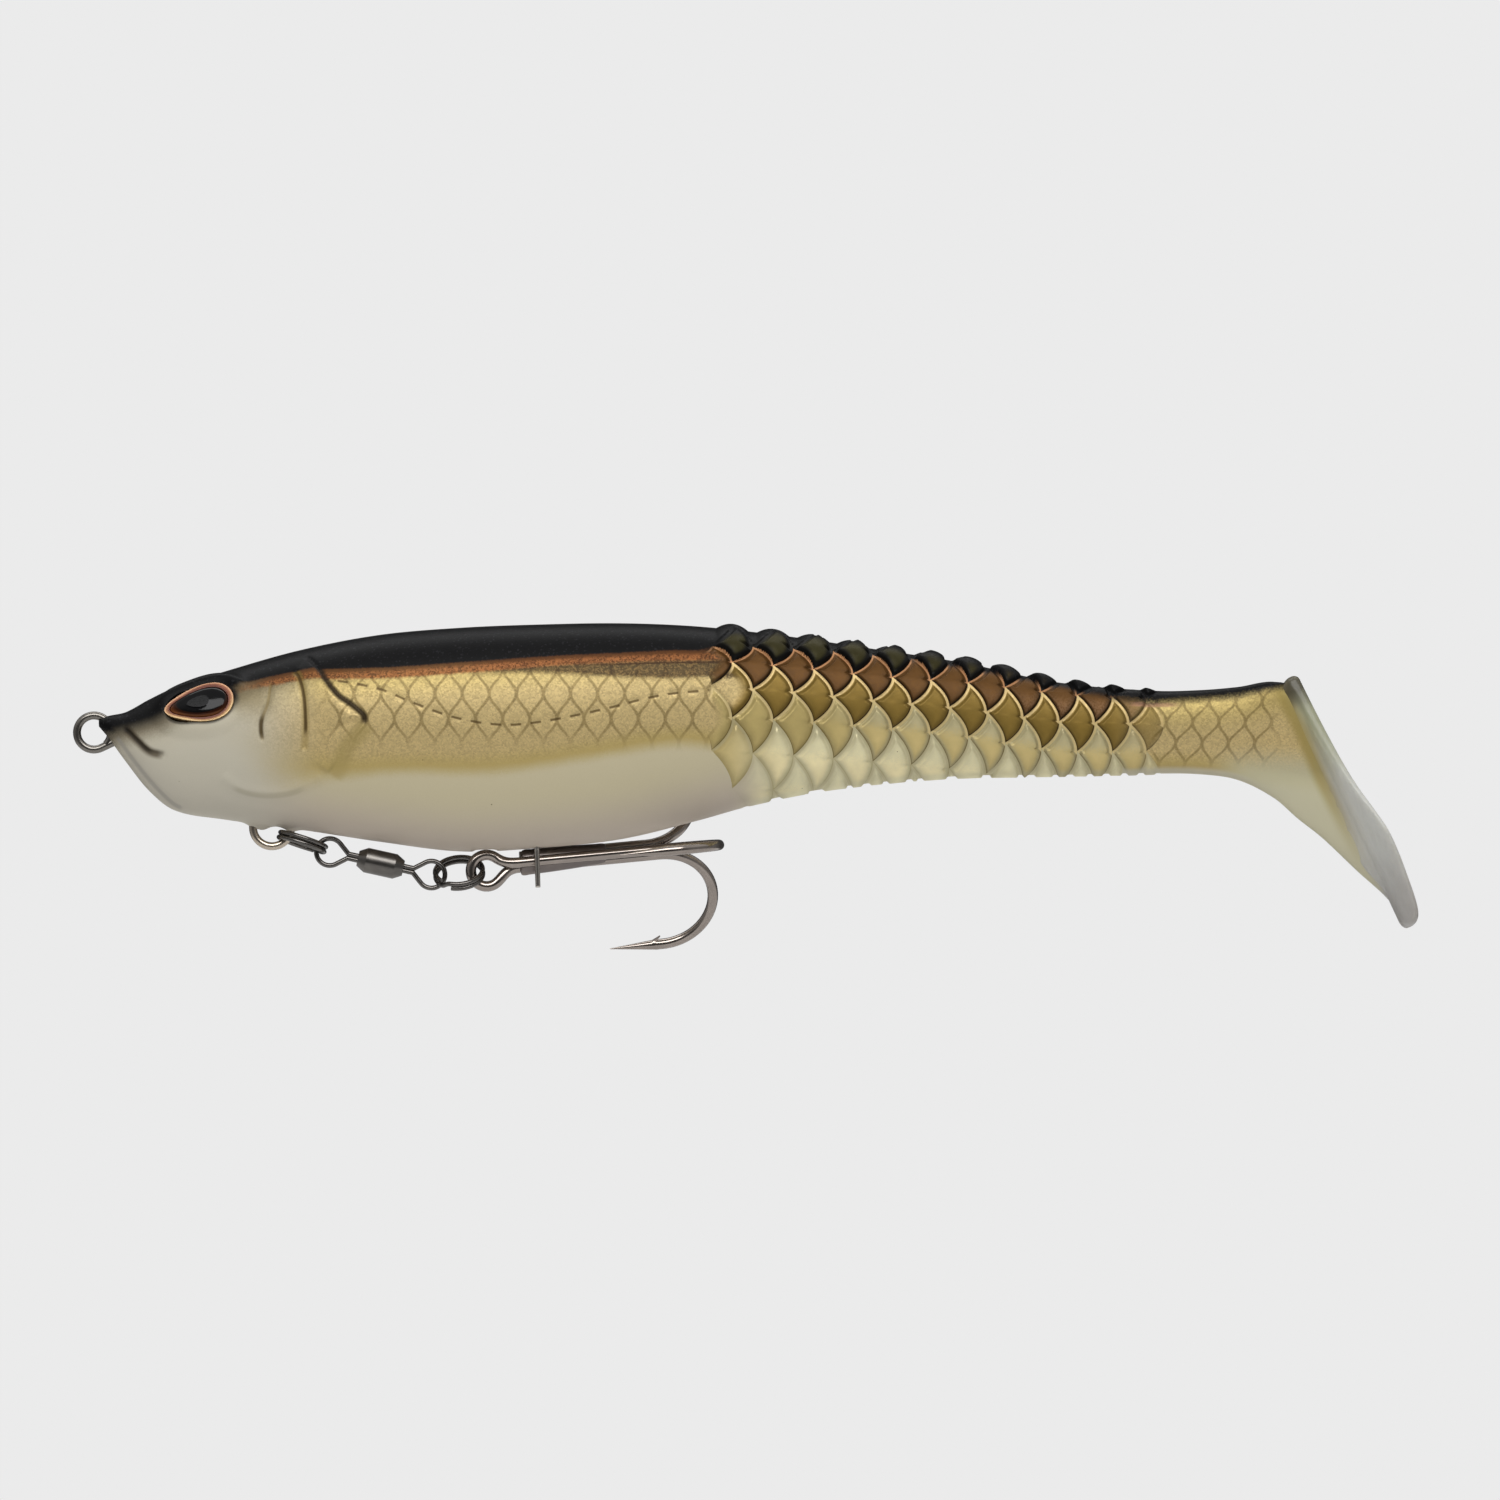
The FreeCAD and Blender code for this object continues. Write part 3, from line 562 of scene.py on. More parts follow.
def painted_fields(points, lines):
    """What the paint needs to know at each vertex, by attribute name."""
    x, y, z = points[..., 0], points[..., 1], points[..., 2]
    column, row, pitch, height = scale_place(x, y, z)
    left = points.reshape(-1, 3).copy()
    left[:, 1] = -np.abs(left[:, 1])
    eye = eye_place(left)
    eye_reach = eye_outline_reach(eye[:, 0], eye[:, 1]).reshape(x.shape)
    near_eye = (np.abs(x - EYE_CENTRE[0]) < 12) & (z > -6)
    fields = {
        "rest": (x, y, z),
        "bands": band_places(x, z),
        "net": net_place(x, z),
        "scales": (column, row, smooth(x, SCALE_FROM_X - 1.0, SCALE_FROM_X)),
        "scale_pitch": (pitch, height),
        "tail": tail_place(x, z),
        "eye": (np.where(near_eye, eye_reach, FAR_OFF), z - bottom_of(x)),
    }
    fields.update(lines)
    return fields


def new_piece(name, vertices, faces):
    mesh = bpy.data.meshes.new(name)
    mesh.from_pydata((np.asarray(vertices) * MM).tolist(), [], faces)
    mesh.polygons.foreach_set("use_smooth", [True] * len(mesh.polygons))
    piece = bpy.data.objects.new(name, mesh)
    bpy.context.scene.collection.objects.link(piece)
    return piece


def tube_faces(rows, count):
    """Quads between the rows of a closed tube, then a fan over each end to two more vertices."""
    faces = []
    for i in range(rows - 1):
        for j in range(count):
            k = (j + 1) % count
            faces.append((i * count + j, (i + 1) * count + j, (i + 1) * count + k, i * count + k))
    first, last = rows * count, rows * count + 1
    for j in range(count):
        k = (j + 1) % count
        faces.append((first, j, k))
        faces.append((last, (rows - 1) * count + k, (rows - 1) * count + j))
    return faces


def closed_tube(name, points, normals, fields):
    """A piece from a grid of points, closed at both ends, with its normals and fields of up to 3 parts."""
    rows, count = points.shape[:2]
    ends = np.stack([points[0].mean(axis=0), points[-1].mean(axis=0)])
    vertices = np.concatenate([points.reshape(-1, 3), ends])
    piece = new_piece(name, vertices, tube_faces(rows, count))
    if normals is not None:
        caps = np.array([[-1.0, 0.0, 0.0], [1.0, 0.0, 0.0]])
        piece.data.normals_split_custom_set_from_vertices(
            np.concatenate([normals.reshape(-1, 3), caps]).tolist()
        )
    for key, parts in fields.items():
        values = np.zeros((rows * count, 3))
        for i, part in enumerate(parts):
            values[:, i] = np.broadcast_to(part, (rows, count)).ravel()
        values = np.concatenate([values, values[:1], values[-1:]]).astype(np.float32)
        piece.data.attributes.new(key, "FLOAT_VECTOR", "POINT").data.foreach_set("vector", values.ravel())
    return piece


def body_skins(materials):
    plain, starts = body_grid()
    x, y, z = plain[..., 0], plain[..., 1], plain[..., 2]
    lines = line_fields(x, z)
    fields = painted_fields(plain, lines)
    raised = plain + grid_normals(plain) * relief(x, y, z, lines)[..., None]
    shaped = with_hook_dent(with_eye_sockets(raised))
    normals = grid_normals(shaped)
    for i, (name, _, _, count, node, slot, bodies, start, end) in enumerate(SKINS):
        rows = slice(starts[i], starts[i] + count + 1)
        own = {key: [p[rows] for p in parts] for key, parts in fields.items()}
        if i > 0:
            own = {key: parts for key, parts in own.items() if key not in LINES}
        piece = closed_tube(name, shaped[rows], normals[rows], own)
        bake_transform(piece)
        settle(piece, materials[slot], node)


def settle(piece, material, node, body=None):
    """The piece's material and slot, the CAD node it stands for, and the body it rides."""
    piece.data.materials.append(material)
    if body:
        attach(piece, body)
    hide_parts(node)


def paddle_plate(material):
    """The cupped paddle: rounded at the rim, its edges swept back, with fillets where the web meets it."""
    fine = np.linspace(0, len(PADDLE_OUTLINE) - 1, PADDLE_ROWS)
    far, wide = (curve([(i, p[k]) for i, p in enumerate(PADDLE_OUTLINE)])(fine)[:, None] for k in (0, 1))
    wide = np.maximum(wide, 0.02)
    a = 2 * np.pi * np.arange(PADDLE_ROUND)[None, :] / PADDLE_ROUND
    across = -np.sign(np.cos(a)) * np.abs(np.cos(a)) ** 0.85 * wide
    half = curve(PADDLE_THICKNESS)(far) / 2
    for start, run in PADDLE_ENDS:
        half = half * np.sqrt(1 - np.clip((far - start) / run, 0, 1) ** 2)
    thick = np.sign(np.sin(a)) * np.abs(np.sin(a)) ** 0.6 * half
    radius = FILLET_RADIUS * smooth(far, FILLET_ENDS[1], FILLET_ENDS[0]) * smooth(far, -0.9, 1.5) + 1e-6
    short = np.clip(radius + FILLET_FROM - np.abs(across), 0, radius)
    fillet = radius - np.sqrt(np.maximum(radius**2 - short**2, 0))
    thick = thick - fillet * (np.sin(a) < 0) * np.abs(np.sin(a)) ** 0.3
    bend = across / PADDLE_CUP_RADIUS
    inner = PADDLE_CUP_RADIUS - thick
    down = paddle_down()
    back = np.array([-down[2], 0.0, down[0]])
    points = (
        PADDLE_TOP
        + far[..., None] * down
        + (inner * np.sin(bend))[..., None] * np.array([0.0, 1.0, 0.0])
        + (PADDLE_CUP_RADIUS - inner * np.cos(bend))[..., None] * back
    )
    x, y, z = points[..., 0], points[..., 1], points[..., 2]
    fields = {
        "rest": (x, y, z),
        "tail": (beside(RIDGE, x, z)[0], far / PADDLE_RUN, np.ones(x.shape)),
        "rim": (np.abs(across), wide - np.abs(across)),
    }
    piece = closed_tube("paddle_plate", points, None, fields)
    settle(piece, material, "tail_paddle", "paddle")


def hook_braze(material):
    """Solder round the three shanks of the treble hook."""
    along = np.linspace(BRAZE[0][0], BRAZE[-1][0], 90)
    wide, up, low = (curve([(b[0], b[i]) for b in BRAZE])(along)[:, None] for i in (1, 2, 3))
    a = 2 * np.pi * np.arange(48)[None, :] / 48
    side = np.cos(a) * wide
    lift = np.sin(a) * np.where(np.sin(a) > 0, up, low)
    points = HOOK_PLACE + along[:, None, None] * HOOK_AXIS
    points = points + np.stack([np.zeros(side.shape), side, lift], axis=-1)
    piece = closed_tube("hook_braze", points, None, {})
    settle(piece, material, "treble_braze", "treble")


def pin_wire(material):
    """The pin that holds the hook to the belly: bent in at the top, cut square below."""
    fine = np.linspace(0, len(PIN_LINE) - 1, 70)
    *line, radius = (curve([(i, p[k]) for i, p in enumerate(PIN_LINE)])(fine) for k in range(4))
    line = np.stack(line, axis=-1)
    along = np.gradient(line, axis=0)
    along = along / np.linalg.norm(along, axis=-1, keepdims=True)
    first = np.cross(along, [1.0, 0.0, 0.0])
    first = first / np.linalg.norm(first, axis=-1, keepdims=True)
    second = np.cross(along, first)
    a = 2 * np.pi * np.arange(32) / 32
    round_it = first[:, None] * np.cos(a)[:, None] + second[:, None] * np.sin(a)[:, None]
    points = line[:, None] + round_it * radius[:, None, None]
    piece = closed_tube("pin_wire", points, None, {})
    settle(piece, material, "belly_pin", "treble")


# --- materials -------------------------------------------------------------------------------------------


def rgb(red, green, blue):
    """A colour from display values of 0 to 255, as the linear colour that a shader takes."""
    linear = [((c / 255 + 0.055) / 1.055) ** 2.4 if c > 10 else c / 255 / 12.92 for c in (red, green, blue)]
    return (*linear, 1.0)


class Num:
    """A number in a material's nodes; sums and products of it make Math nodes."""

    def __init__(self, paint, socket):
        self.paint = paint
        self.socket = socket

    def __neg__(self):
        return self.paint.math("MULTIPLY", self, -1.0)

    def size(self):
        return self.paint.math("ABSOLUTE", self)

    def wrapped(self):
        """The distance from the nearest whole number, signed."""
        return self.paint.math("WRAP", self, 0.5, -0.5)


def operator(operation, swapped):
    def apply(self, other):
        pair = (other, self) if swapped else (self, other)
        return self.paint.math(operation, *pair)

    return apply


for word, operation in (("add", "ADD"), ("sub", "SUBTRACT"), ("mul", "MULTIPLY"), ("truediv", "DIVIDE")):
    setattr(Num, f"__{word}__", operator(operation, False))
    setattr(Num, f"__r{word}__", operator(operation, True))


class Paint:
    """A material or the world being made: each call adds a node and gives back its output."""

    def __init__(self, owner):
        owner.use_nodes = True
        self.owner = owner
        self.tree = owner.node_tree

    def feed(self, socket, value):
        if isinstance(value, Num):
            value = value.socket
        if isinstance(value, bpy.types.NodeSocket):
            self.tree.links.new(value, socket)
        else:
            socket.default_value = value

    def node(self, kind, inputs, **settings):
        made = self.tree.nodes.new(kind)
        for key, value in settings.items():
            setattr(made, key, value)
        for key, value in inputs.items():
            self.feed(made.inputs[key], value)
        return made

    def math(self, operation, *values):
        made = self.node("ShaderNodeMath", dict(enumerate(values)), operation=operation)
        return Num(self, made.outputs[0])

    def attribute(self, name):
        return self.node("ShaderNodeAttribute", {}, attribute_name=name).outputs["Vector"]

    def split(self, vector):
        made = self.node("ShaderNodeSeparateXYZ", {0: vector})
        return [Num(self, s) for s in made.outputs]

    def scaled(self, vector, x, y, z):
        return self.node("ShaderNodeVectorMath", {0: vector, 1: (x, y, z)}, operation="MULTIPLY").outputs[0]

    def smooth(self, value, low, high):
        inputs = {"Value": value, "From Min": low, "From Max": high}
        made = self.node("ShaderNodeMapRange", inputs, interpolation_type="SMOOTHSTEP")
        return Num(self, made.outputs[0])

    def between(self, value, start, full, fade, end):
        """1 from full to fade, and 0 before start and after end."""
        return self.smooth(value, start, full) * self.smooth(value, end, fade)

    def over(self, value, limit):
        return self.math("GREATER_THAN", value, limit)

    def most(self, *values):
        largest = values[0]
        for value in values[1:]:
            largest = self.math("MAXIMUM", largest, value)
        return largest

    def noise(self, vector, scale, detail=2.0):
        made = self.node("ShaderNodeTexNoise", {"Vector": vector, "Scale": scale, "Detail": detail})
        return Num(self, made.outputs[0])

    def flakes(self, vector, scale):
        """A different number from 0 to 1 in each small cell."""
        made = self.node("ShaderNodeTexVoronoi", {"Vector": vector, "Scale": scale})
        return self.split(made.outputs["Color"])[0]

    def specks(self, vector, scale, radius, rare):
        """Small round dots in some of the cells of a grid of that scale."""
        made = self.node("ShaderNodeTexVoronoi", {"Vector": vector, "Scale": scale})
        chosen = self.math("GREATER_THAN", self.split(made.outputs["Color"])[1], rare)
        return self.smooth(Num(self, made.outputs["Distance"]), radius, radius * 0.5) * chosen

    def mix(self, share, low, high):
        made = self.node("ShaderNodeMix", {0: share, 6: low, 7: high}, data_type="RGBA")
        return made.outputs[2]

    def brightened(self, colour, factor):
        """The colour times a number."""
        made = self.node("ShaderNodeVectorMath", {0: colour, "Scale": factor}, operation="SCALE")
        return made.outputs[0]

    def bump(self, height, distance, strength=1.0):
        inputs = {"Height": height, "Distance": distance, "Strength": strength}
        return self.node("ShaderNodeBump", inputs).outputs[0]

    def finish(self, **inputs):
        for key, value in inputs.items():
            self.feed(self.shader.inputs[key.replace("_", " ").title().replace("Ior", "IOR")], value)
        return self.owner

    @property
    def shader(self):
        return self.tree.nodes["Principled BSDF"]


BLACK = rgb(7, 7, 8)
COPPER = rgb(86, 52, 27)
COPPER_HIGH = rgb(146, 92, 52)
BROWN = rgb(58, 43, 26)
BROWN_HIGH = rgb(100, 78, 47)
GOLD = rgb(190, 168, 118)
GOLD_HIGH = rgb(172, 152, 86)
OLIVE = rgb(174, 154, 98)
PALE = rgb(192, 182, 152)
BELLY = rgb(188, 176, 162)
PEARL = rgb(188, 183, 168)
NET = rgb(116, 98, 58)
GREENISH = rgb(130, 116, 80)
HEAD_SHADE = rgb(84, 70, 44)
WEB = rgb(186, 182, 154)
RIDGE_OLIVE_SHADE = rgb(156, 138, 80)
BLACK_FLECK = rgb(60, 60, 64)  # of the few paler flakes in the black
SPECK = rgb(80, 68, 48)
DASH_TINT = rgb(78, 60, 34)
UNDER_COPPER = rgb(56, 34, 20)
SMUDGE = rgb(52, 40, 26)
LOW_EDGE = rgb(188, 182, 160)  # of the clear plastic under the wrist
PINK = rgb(164, 120, 98)
AGED = rgb(150, 114, 84)
PADDLE_TINTS = (rgb(174, 176, 150), rgb(188, 188, 182), rgb(162, 158, 153))  # top, middle and tip
PADDLE_HIGHLIGHT = rgb(204, 204, 200)
PADDLE_RIM = rgb(120, 118, 92)
PADDLE_TOP_TINT = rgb(58, 50, 34)

# The edge tint also serves as the painted shade at the scales' edges; the groove tint is the grooves' pale
# paint with painted light on it.
ROW_TINTS = [  # (rows past this number, pad, groove beside it, edge)
    (-9.0, (26, 25, 24), (30, 29, 27), (14, 13, 12)),
    (-0.5, (54, 50, 26), (30, 29, 27), (14, 13, 12)),
    (0.5, (94, 64, 30), (176, 128, 88), (34, 24, 13)),
    (1.5, (130, 106, 50), (206, 180, 126), (58, 44, 20)),
    (2.5, (172, 154, 100), (204, 184, 132), (100, 84, 42)),
    (3.5, (178, 160, 108), (178, 168, 132), (148, 134, 84)),
    (4.5, (194, 186, 152), (178, 168, 132), (148, 134, 84)),
]
CLEAR_TINTS = (rgb(180, 170, 132), rgb(212, 205, 168))  # the clear plastic of the low rows, then the lowest
FOIL_TINTS = (rgb(192, 173, 118), rgb(228, 216, 172))  # the patches of foil behind it

# Painted shade: each tint below darkens the skin along a crease, a groove or a flap's edge.
CREASE_SHADE = [  # (line, width, tint, strength, shift to one side, stretch of the line or all of it)
    ("mouth", 1.0, (70, 58, 40), 0.85, 0.0, (-3.0, 7.4)),
    ("mouth", 0.5, (34, 28, 20), 0.8, 0.0, (-3.0, 5.6)),
    ("gill_front", 0.36, (126, 108, 66), 0.6, 0.0, None),
    ("gill_front", 0.55, (66, 52, 28), 0.85, 0.0, (5.8, 8.6)),
    ("gill_rear", 0.9, (150, 128, 68), 0.45, 0.0, None),
    ("gill_rear", 0.42, (70, 54, 26), 0.9, 0.0, (-2.0, 10.0)),
    ("gill_fold", 2.1, (158, 140, 86), 0.6, -0.8, None),
    ("gill_cover", 0.75, (40, 30, 18), 0.95, -0.1, None),
    ("cheek_arc", 0.7, (150, 142, 118), 0.35, 0.4, (3.0, 13.0)),
    ("chin_edge", 0.5, (146, 142, 134), 0.6, 0.0, None),
]


def new_material(name):
    return Paint(bpy.data.materials.new(name))


def paint_crease_shade(p, colour):
    """Painted shade along the creases: dark in the creases of the mouth and gill covers, and soft along the
    folds under them.
    """
    for name, width, tint, strength, shift, stretch in CREASE_SHADE:
        signed, length, mask = p.split(p.attribute(name))
        amount = p.smooth((signed + shift).size(), width, width * 0.25) * mask * strength
        if stretch:
            start, end = stretch
            amount = amount * p.between(length, start - 1.2, start + 0.6, end - 0.6, end + 1.2)
        colour = p.mix(amount, colour, rgb(*tint))
    return colour


def paint_net(p, colour):
    """Two families of wavy lines that cross in a net."""
    column, row, strength = p.split(p.attribute("net"))
    wave = p.math("COSINE", row * math.pi) * 0.25
    first = (column - wave).wrapped().size()
    second = (column - 0.5 + wave).wrapped().size()
    near = p.math("MINIMUM", first, second)
    return p.mix(p.smooth(near, NET_LINE, NET_LINE * 0.3) * strength * 0.62, colour, NET)


def scale_nodes(p):
    """The scale pattern as nodes, by name; the same sums as scale_sides."""
    column, row, mask = p.split(p.attribute("scales"))
    pitch, height, _ = p.split(p.attribute("scale_pitch"))
    m = p.math("CEIL", row)
    f = row - m + 1.0
    g = 1.0 - f
    parity = p.math("PINGPONG", m, 1.0)
    low_bow = (1.0 - f * f) * 0.5
    high_bow = (1.0 - g * g) * 0.5
    low_phase = parity * 0.5 + low_bow - column
    high_phase = (1.0 - parity) * 0.5 + high_bow - column

    def mm_per_column(part):
        steep = part / height
        return 1.0 / p.math("SQRT", 1.0 / (pitch * pitch) + steep * steep)

    low_size, high_size = mm_per_column(f), mm_per_column(g)
    ahead = p.math("FRACT", low_phase + 40.0)
    above = p.math("FRACT", high_phase + 40.0)
    upper = p.math("LESS_THAN", above, ahead)
    ahead_of = ahead - low_bow
    above_of = above - high_bow
    number = m + upper
    return {
        "number": number,
        "low": -(low_phase.wrapped() * low_size),
        "high": high_phase.wrapped() * high_size,
        "back": ahead * low_size + (above * high_size - ahead * low_size) * upper,
        "column": column + ahead_of + (above_of - ahead_of) * upper,
        "down": row - number + 2.0,
        "across": column.wrapped() * pitch,
        "mask": mask,
    }


def by_row(p, number, part):
    """The tint of a scale by its row: part 1 of the table is its pad, 2 the groove round it, 3 its edge."""
    colour = rgb(*ROW_TINTS[0][part])
    for row in ROW_TINTS[1:]:
        colour = p.mix(p.over(number, row[0]), colour, rgb(*row[part]))
    return colour


def scale_pads(p, scale, skin, inside):
    """The scales' pads: clear plastic over patches of foil on the low rows, worn foil high on the tail."""
    number, down = scale["number"], scale["down"]
    is_low, is_lower = p.over(number, 2.5), p.over(number, 3.5)
    patch = p.smooth(down + (skin.grain - 0.5) * 0.5, 0.65, 1.15) * p.smooth(inside, 0.15, 0.9)
    patch = patch * p.smooth(skin.above_belly, 0.5, 1.3) * p.smooth(skin.x, 99.0, 104.0)
    low_pad = p.mix(patch, p.mix(is_lower, *CLEAR_TINTS), p.mix(is_lower, *FOIL_TINTS))
    clearer = p.smooth(skin.x + is_lower * 14.0, 110.0, 124.0) * is_low
    pad = p.mix(clearer * 0.9, by_row(p, number, 1), low_pad)
    aged = p.smooth(skin.x, 132.0, 154.0) * p.smooth(skin.grain, 0.35, 0.6) * p.smooth(down, 0.9, 1.7)
    pad = p.mix(aged * p.smooth(number, 1.6, 1.4) * 0.4, pad, AGED)
    pad = p.mix(is_low, p.brightened(pad, 0.9), pad)
    mottle = p.noise(skin.place, 0.5, 3.0)
    # Painted shade: each pad is darker toward its edges and lighter in its middle; the mottle is random
    # tone.
    return p.brightened(pad, 0.70 + p.smooth(inside, 0.0, 1.8) * 0.3 + mottle * 0.3)


def scale_extent(p, scale, skin):
    """Where the scales are painted, from 0 to 1: whole ones, and the rear halves of the first."""
    number, column = scale["number"], scale["column"]
    on_back, is_lower = 1.0 - p.over(number, 0.5), p.over(number, 3.5)
    shifted = column + (on_back + is_lower) * OUTER_LEAD
    whole = p.smooth(shifted, FIRST_WHOLE - 0.05, FIRST_WHOLE + 0.05)
    part = p.smooth(scale["back"], 2.8, 0.5) * p.smooth(shifted, FIRST_PART - 0.05, FIRST_PART + 0.05)
    part = part * (1.0 - is_lower) * (1.0 - on_back) * p.smooth(skin.x, 93.0, 97.5)
    share = p.most(whole, part) * p.smooth(column, LAST_COLUMN + 0.05, LAST_COLUMN - 0.05)
    low_fade = 1.0 - p.over(number, 4.5) * p.smooth(skin.x, 106.0, 98.0)
    end_fade = 1.0 - p.smooth(skin.x, 157.0, 167.0) * 0.45
    return share * scale["mask"] * low_fade * end_fade


def paint_scales(p, skin, colour):
    """Scales by row: dark on the back, copper and olive on the flank, pale below, with painted shade inside
    their rear edges and along their lower edges, and painted light in their pale grooves.
    """
    scale = scale_nodes(p)
    number, low, high = scale["number"], scale["low"], scale["high"]
    inside = p.math("MINIMUM", low.size(), high.size())
    on_back, is_low = 1.0 - p.over(number, 0.5), p.over(number, 2.5)

    def strip(side, start, start_soft, end, end_soft):
        return p.between(side, start - start_soft, start, end, end + end_soft)

    edge = by_row(p, number, 3)
    # Painted shade: a dark band inside each scale along its rear edge.
    rim = p.most(strip(low, -0.25, 0.8, 0.0, 0.1), strip(high, -0.15, 0.45, 0.0, 0.1) * 0.6)
    painted = scale_pads(p, scale, skin, inside)
    painted = p.mix(rim * (0.38 - is_low * 0.22 + on_back * 0.5), painted, edge)
    painted = p.mix(p.smooth(inside, 0.8, 0.2) * on_back * 0.95, painted, edge)
    across, up = scale["across"], scale["down"] - 1.0
    from_middle = p.math("SQRT", across * across + up * up * 7.0)
    painted = p.mix(p.smooth(from_middle, 1.6, 2.4) * on_back, painted, edge)
    # Painted shade: thin dark lines along each scale's lower edges.
    wide = 0.21 - is_low * 0.06 - p.over(number, 1.5) * 0.08
    dark = p.most(strip(low, -wide, 0.12, 0.01, 0.06), strip(high, wide * -0.6, 0.1, 0.01, 0.06))
    painted = p.mix(dark * (p.smooth(number, 4.6, 2.4) * 0.65 + 0.35), painted, edge)
    # Painted light on the grooves' own pale paint, beside the shade lines.
    lit_to = 0.18 + p.over(number, 1.5) * 0.14
    lit = p.most(strip(low, 0.03, 0.06, lit_to, 0.16), strip(high, 0.03, 0.06, lit_to, 0.16))
    painted = p.mix(lit * (1.0 - p.over(number, 3.5) * 0.5), painted, by_row(p, number, 2))
    return p.mix(scale_extent(p, scale, skin), colour, painted)


def paint_ridge_olive_shade(p, colour, behind, down):
    """The soft olive band along the web in front of the paddle, paler down the tail: the thicker plastic's
    olive, and partly painted shade in the corner where the web meets the paddle.
    """
    band = p.smooth(behind.size(), 1.9, 0.3) * p.smooth(down, 0.85, 0.3)
    return p.mix(band * 0.85, colour, RIDGE_OLIVE_SHADE)


def paint_paddle_tints(p, down, drift):
    top, middle, tip = PADDLE_TINTS
    colour = p.mix(p.smooth(down + drift, 0.12, 0.5), top, middle)
    return p.mix(p.smooth(down + drift, 0.6, 1.0), colour, tip)


def skin_values(p):
    """What every skin's paint reads: its place, heights above the bands' edges, and noises."""
    place = p.attribute("rest")
    x, _, z = p.split(place)
    black_at, copper_at, gold_at = p.split(p.attribute("bands"))
    eye_off, above_belly, _ = p.split(p.attribute("eye"))
    grain = p.noise(place, 3.6, 3.0)
    cloud = p.noise(place, 0.22, 3.0)
    return SimpleNamespace(
        place=place,
        x=x,
        z=z,
        black_at=black_at,
        copper_at=copper_at,
        gold_at=gold_at * (0.4 + p.smooth(x, 26.0, 46.0) * 0.6),
        eye_off=eye_off,
        above_belly=above_belly,
        grain=grain,
        cloud=cloud,
        fine=p.noise(place, 7.5, 2.0),
        flake=p.flakes(place, 4.2),
        drift=(grain - 0.5) * 0.7 + (cloud - 0.5) * 0.5,
    )


def paint_bands(p, skin):
    """The pale belly, the olive and gold of the flank, and richer gold high on it."""
    colour = p.mix(p.smooth(skin.above_belly, 0.0, 9.0), BELLY, PALE)
    colour = p.mix(p.smooth(skin.gold_at + skin.drift, -3.2, -0.6), colour, OLIVE)
    colour = p.mix(p.smooth(skin.gold_at + skin.drift * 1.4, -1.2, 1.9), colour, GOLD)
    return p.mix(p.smooth(skin.black_at + skin.drift, -6.5, -1.0) * 0.6, colour, GOLD_HIGH)


def paint_cheek(p, skin, colour, cheek):
    """Pearl on the cheek, green behind the eye, and brown shade under the black."""
    colour = p.mix(cheek * 0.85, colour, PEARL)
    behind_eye = p.between(skin.x, 20.0, 23.5, 25.0, 34.0) * p.smooth(skin.z, 0.5, 5.5)
    colour = p.mix(behind_eye * 0.75, colour, GREENISH)
    shade = p.smooth(skin.black_at + skin.drift * 1.6, -3.4, -0.2) * p.smooth(skin.x, 46.0, 26.0)
    return p.mix(shade * 0.7, colour, HEAD_SHADE)


def paint_flank_lines(p, skin, colour):
    """The lateral line's dashes, the brown and copper stripes, the painted shade along the creases, and a
    smudge by the scales.
    """
    x, drift, copper_at = skin.x, skin.drift, skin.copper_at
    signed, length, mask = p.split(p.attribute("lateral"))
    dash = p.smooth((length / DASH_SPACING).wrapped().size(), 0.20, 0.27) * mask
    colour = p.mix(p.smooth(signed.size(), 0.28, 0.08) * dash * 0.8, colour, DASH_TINT)
    brown_to = p.smooth(x, 60.0, 90.0) * -2.3
    brown = p.smooth(copper_at + drift * 0.8, brown_to - 0.9, brown_to + 0.1) * p.smooth(x, 56.0, 66.0)
    flecked = p.mix(p.smooth(skin.flake + skin.fine * 0.5, 0.5, 1.3), BROWN, BROWN_HIGH)
    colour = p.mix(brown * 0.92, colour, flecked)
    stripe = p.smooth(copper_at + drift * 0.5, -0.3, 0.3) * p.smooth(x + drift * 3.0, 19.0, 29.0)
    glow = p.smooth(skin.flake + skin.fine, 0.4, 1.5) * p.smooth(skin.black_at, -0.2, -0.9)
    colour = p.mix(stripe * 0.95, colour, p.mix(glow, COPPER, COPPER_HIGH))
    under = p.smooth((copper_at + 0.3).size(), 0.22, 0.06) * p.smooth(x, 72.0, 84.0)
    colour = paint_crease_shade(p, p.mix(under * 0.7, colour, UNDER_COPPER))
    smudge = p.between(x, 93.5, 96.5, 98.0, 101.0) * p.smooth(skin.z, 6.0, 9.5)
    smudge = smudge * p.smooth(skin.cloud + skin.grain, 0.7, 1.2)
    return p.mix(smudge * 0.8, colour, SMUDGE)


def paint_tail(p, skin, colour):
    """The web, paler down to its ridge, the start of the paddle, and the wrist's clear lower edge."""
    behind, down, on_tail = p.split(p.attribute("tail"))
    web = p.smooth(skin.z + skin.drift * 2.0, -1.0, -7.0) * on_tail
    colour = p.mix(web * 0.85, colour, WEB)
    paddle = paint_paddle_tints(p, down, skin.drift * 0.1)
    colour = p.mix(p.smooth(behind, -0.5, 1.6) * on_tail, colour, paddle)
    colour = p.mix(on_tail, colour, paint_ridge_olive_shade(p, colour, behind, down))
    low_edge = p.smooth(skin.above_belly, 1.3, 0.4) * p.smooth(skin.x, 184.0, 178.0)
    colour = p.mix(low_edge * 0.8, colour, LOW_EDGE)
    pink = p.between(skin.x, 160.5, 162.5, 166.5, 169.5) * p.smooth((skin.z - 4.3).size(), 0.45, 0.2)
    return p.mix(pink * 0.6, colour, PINK)


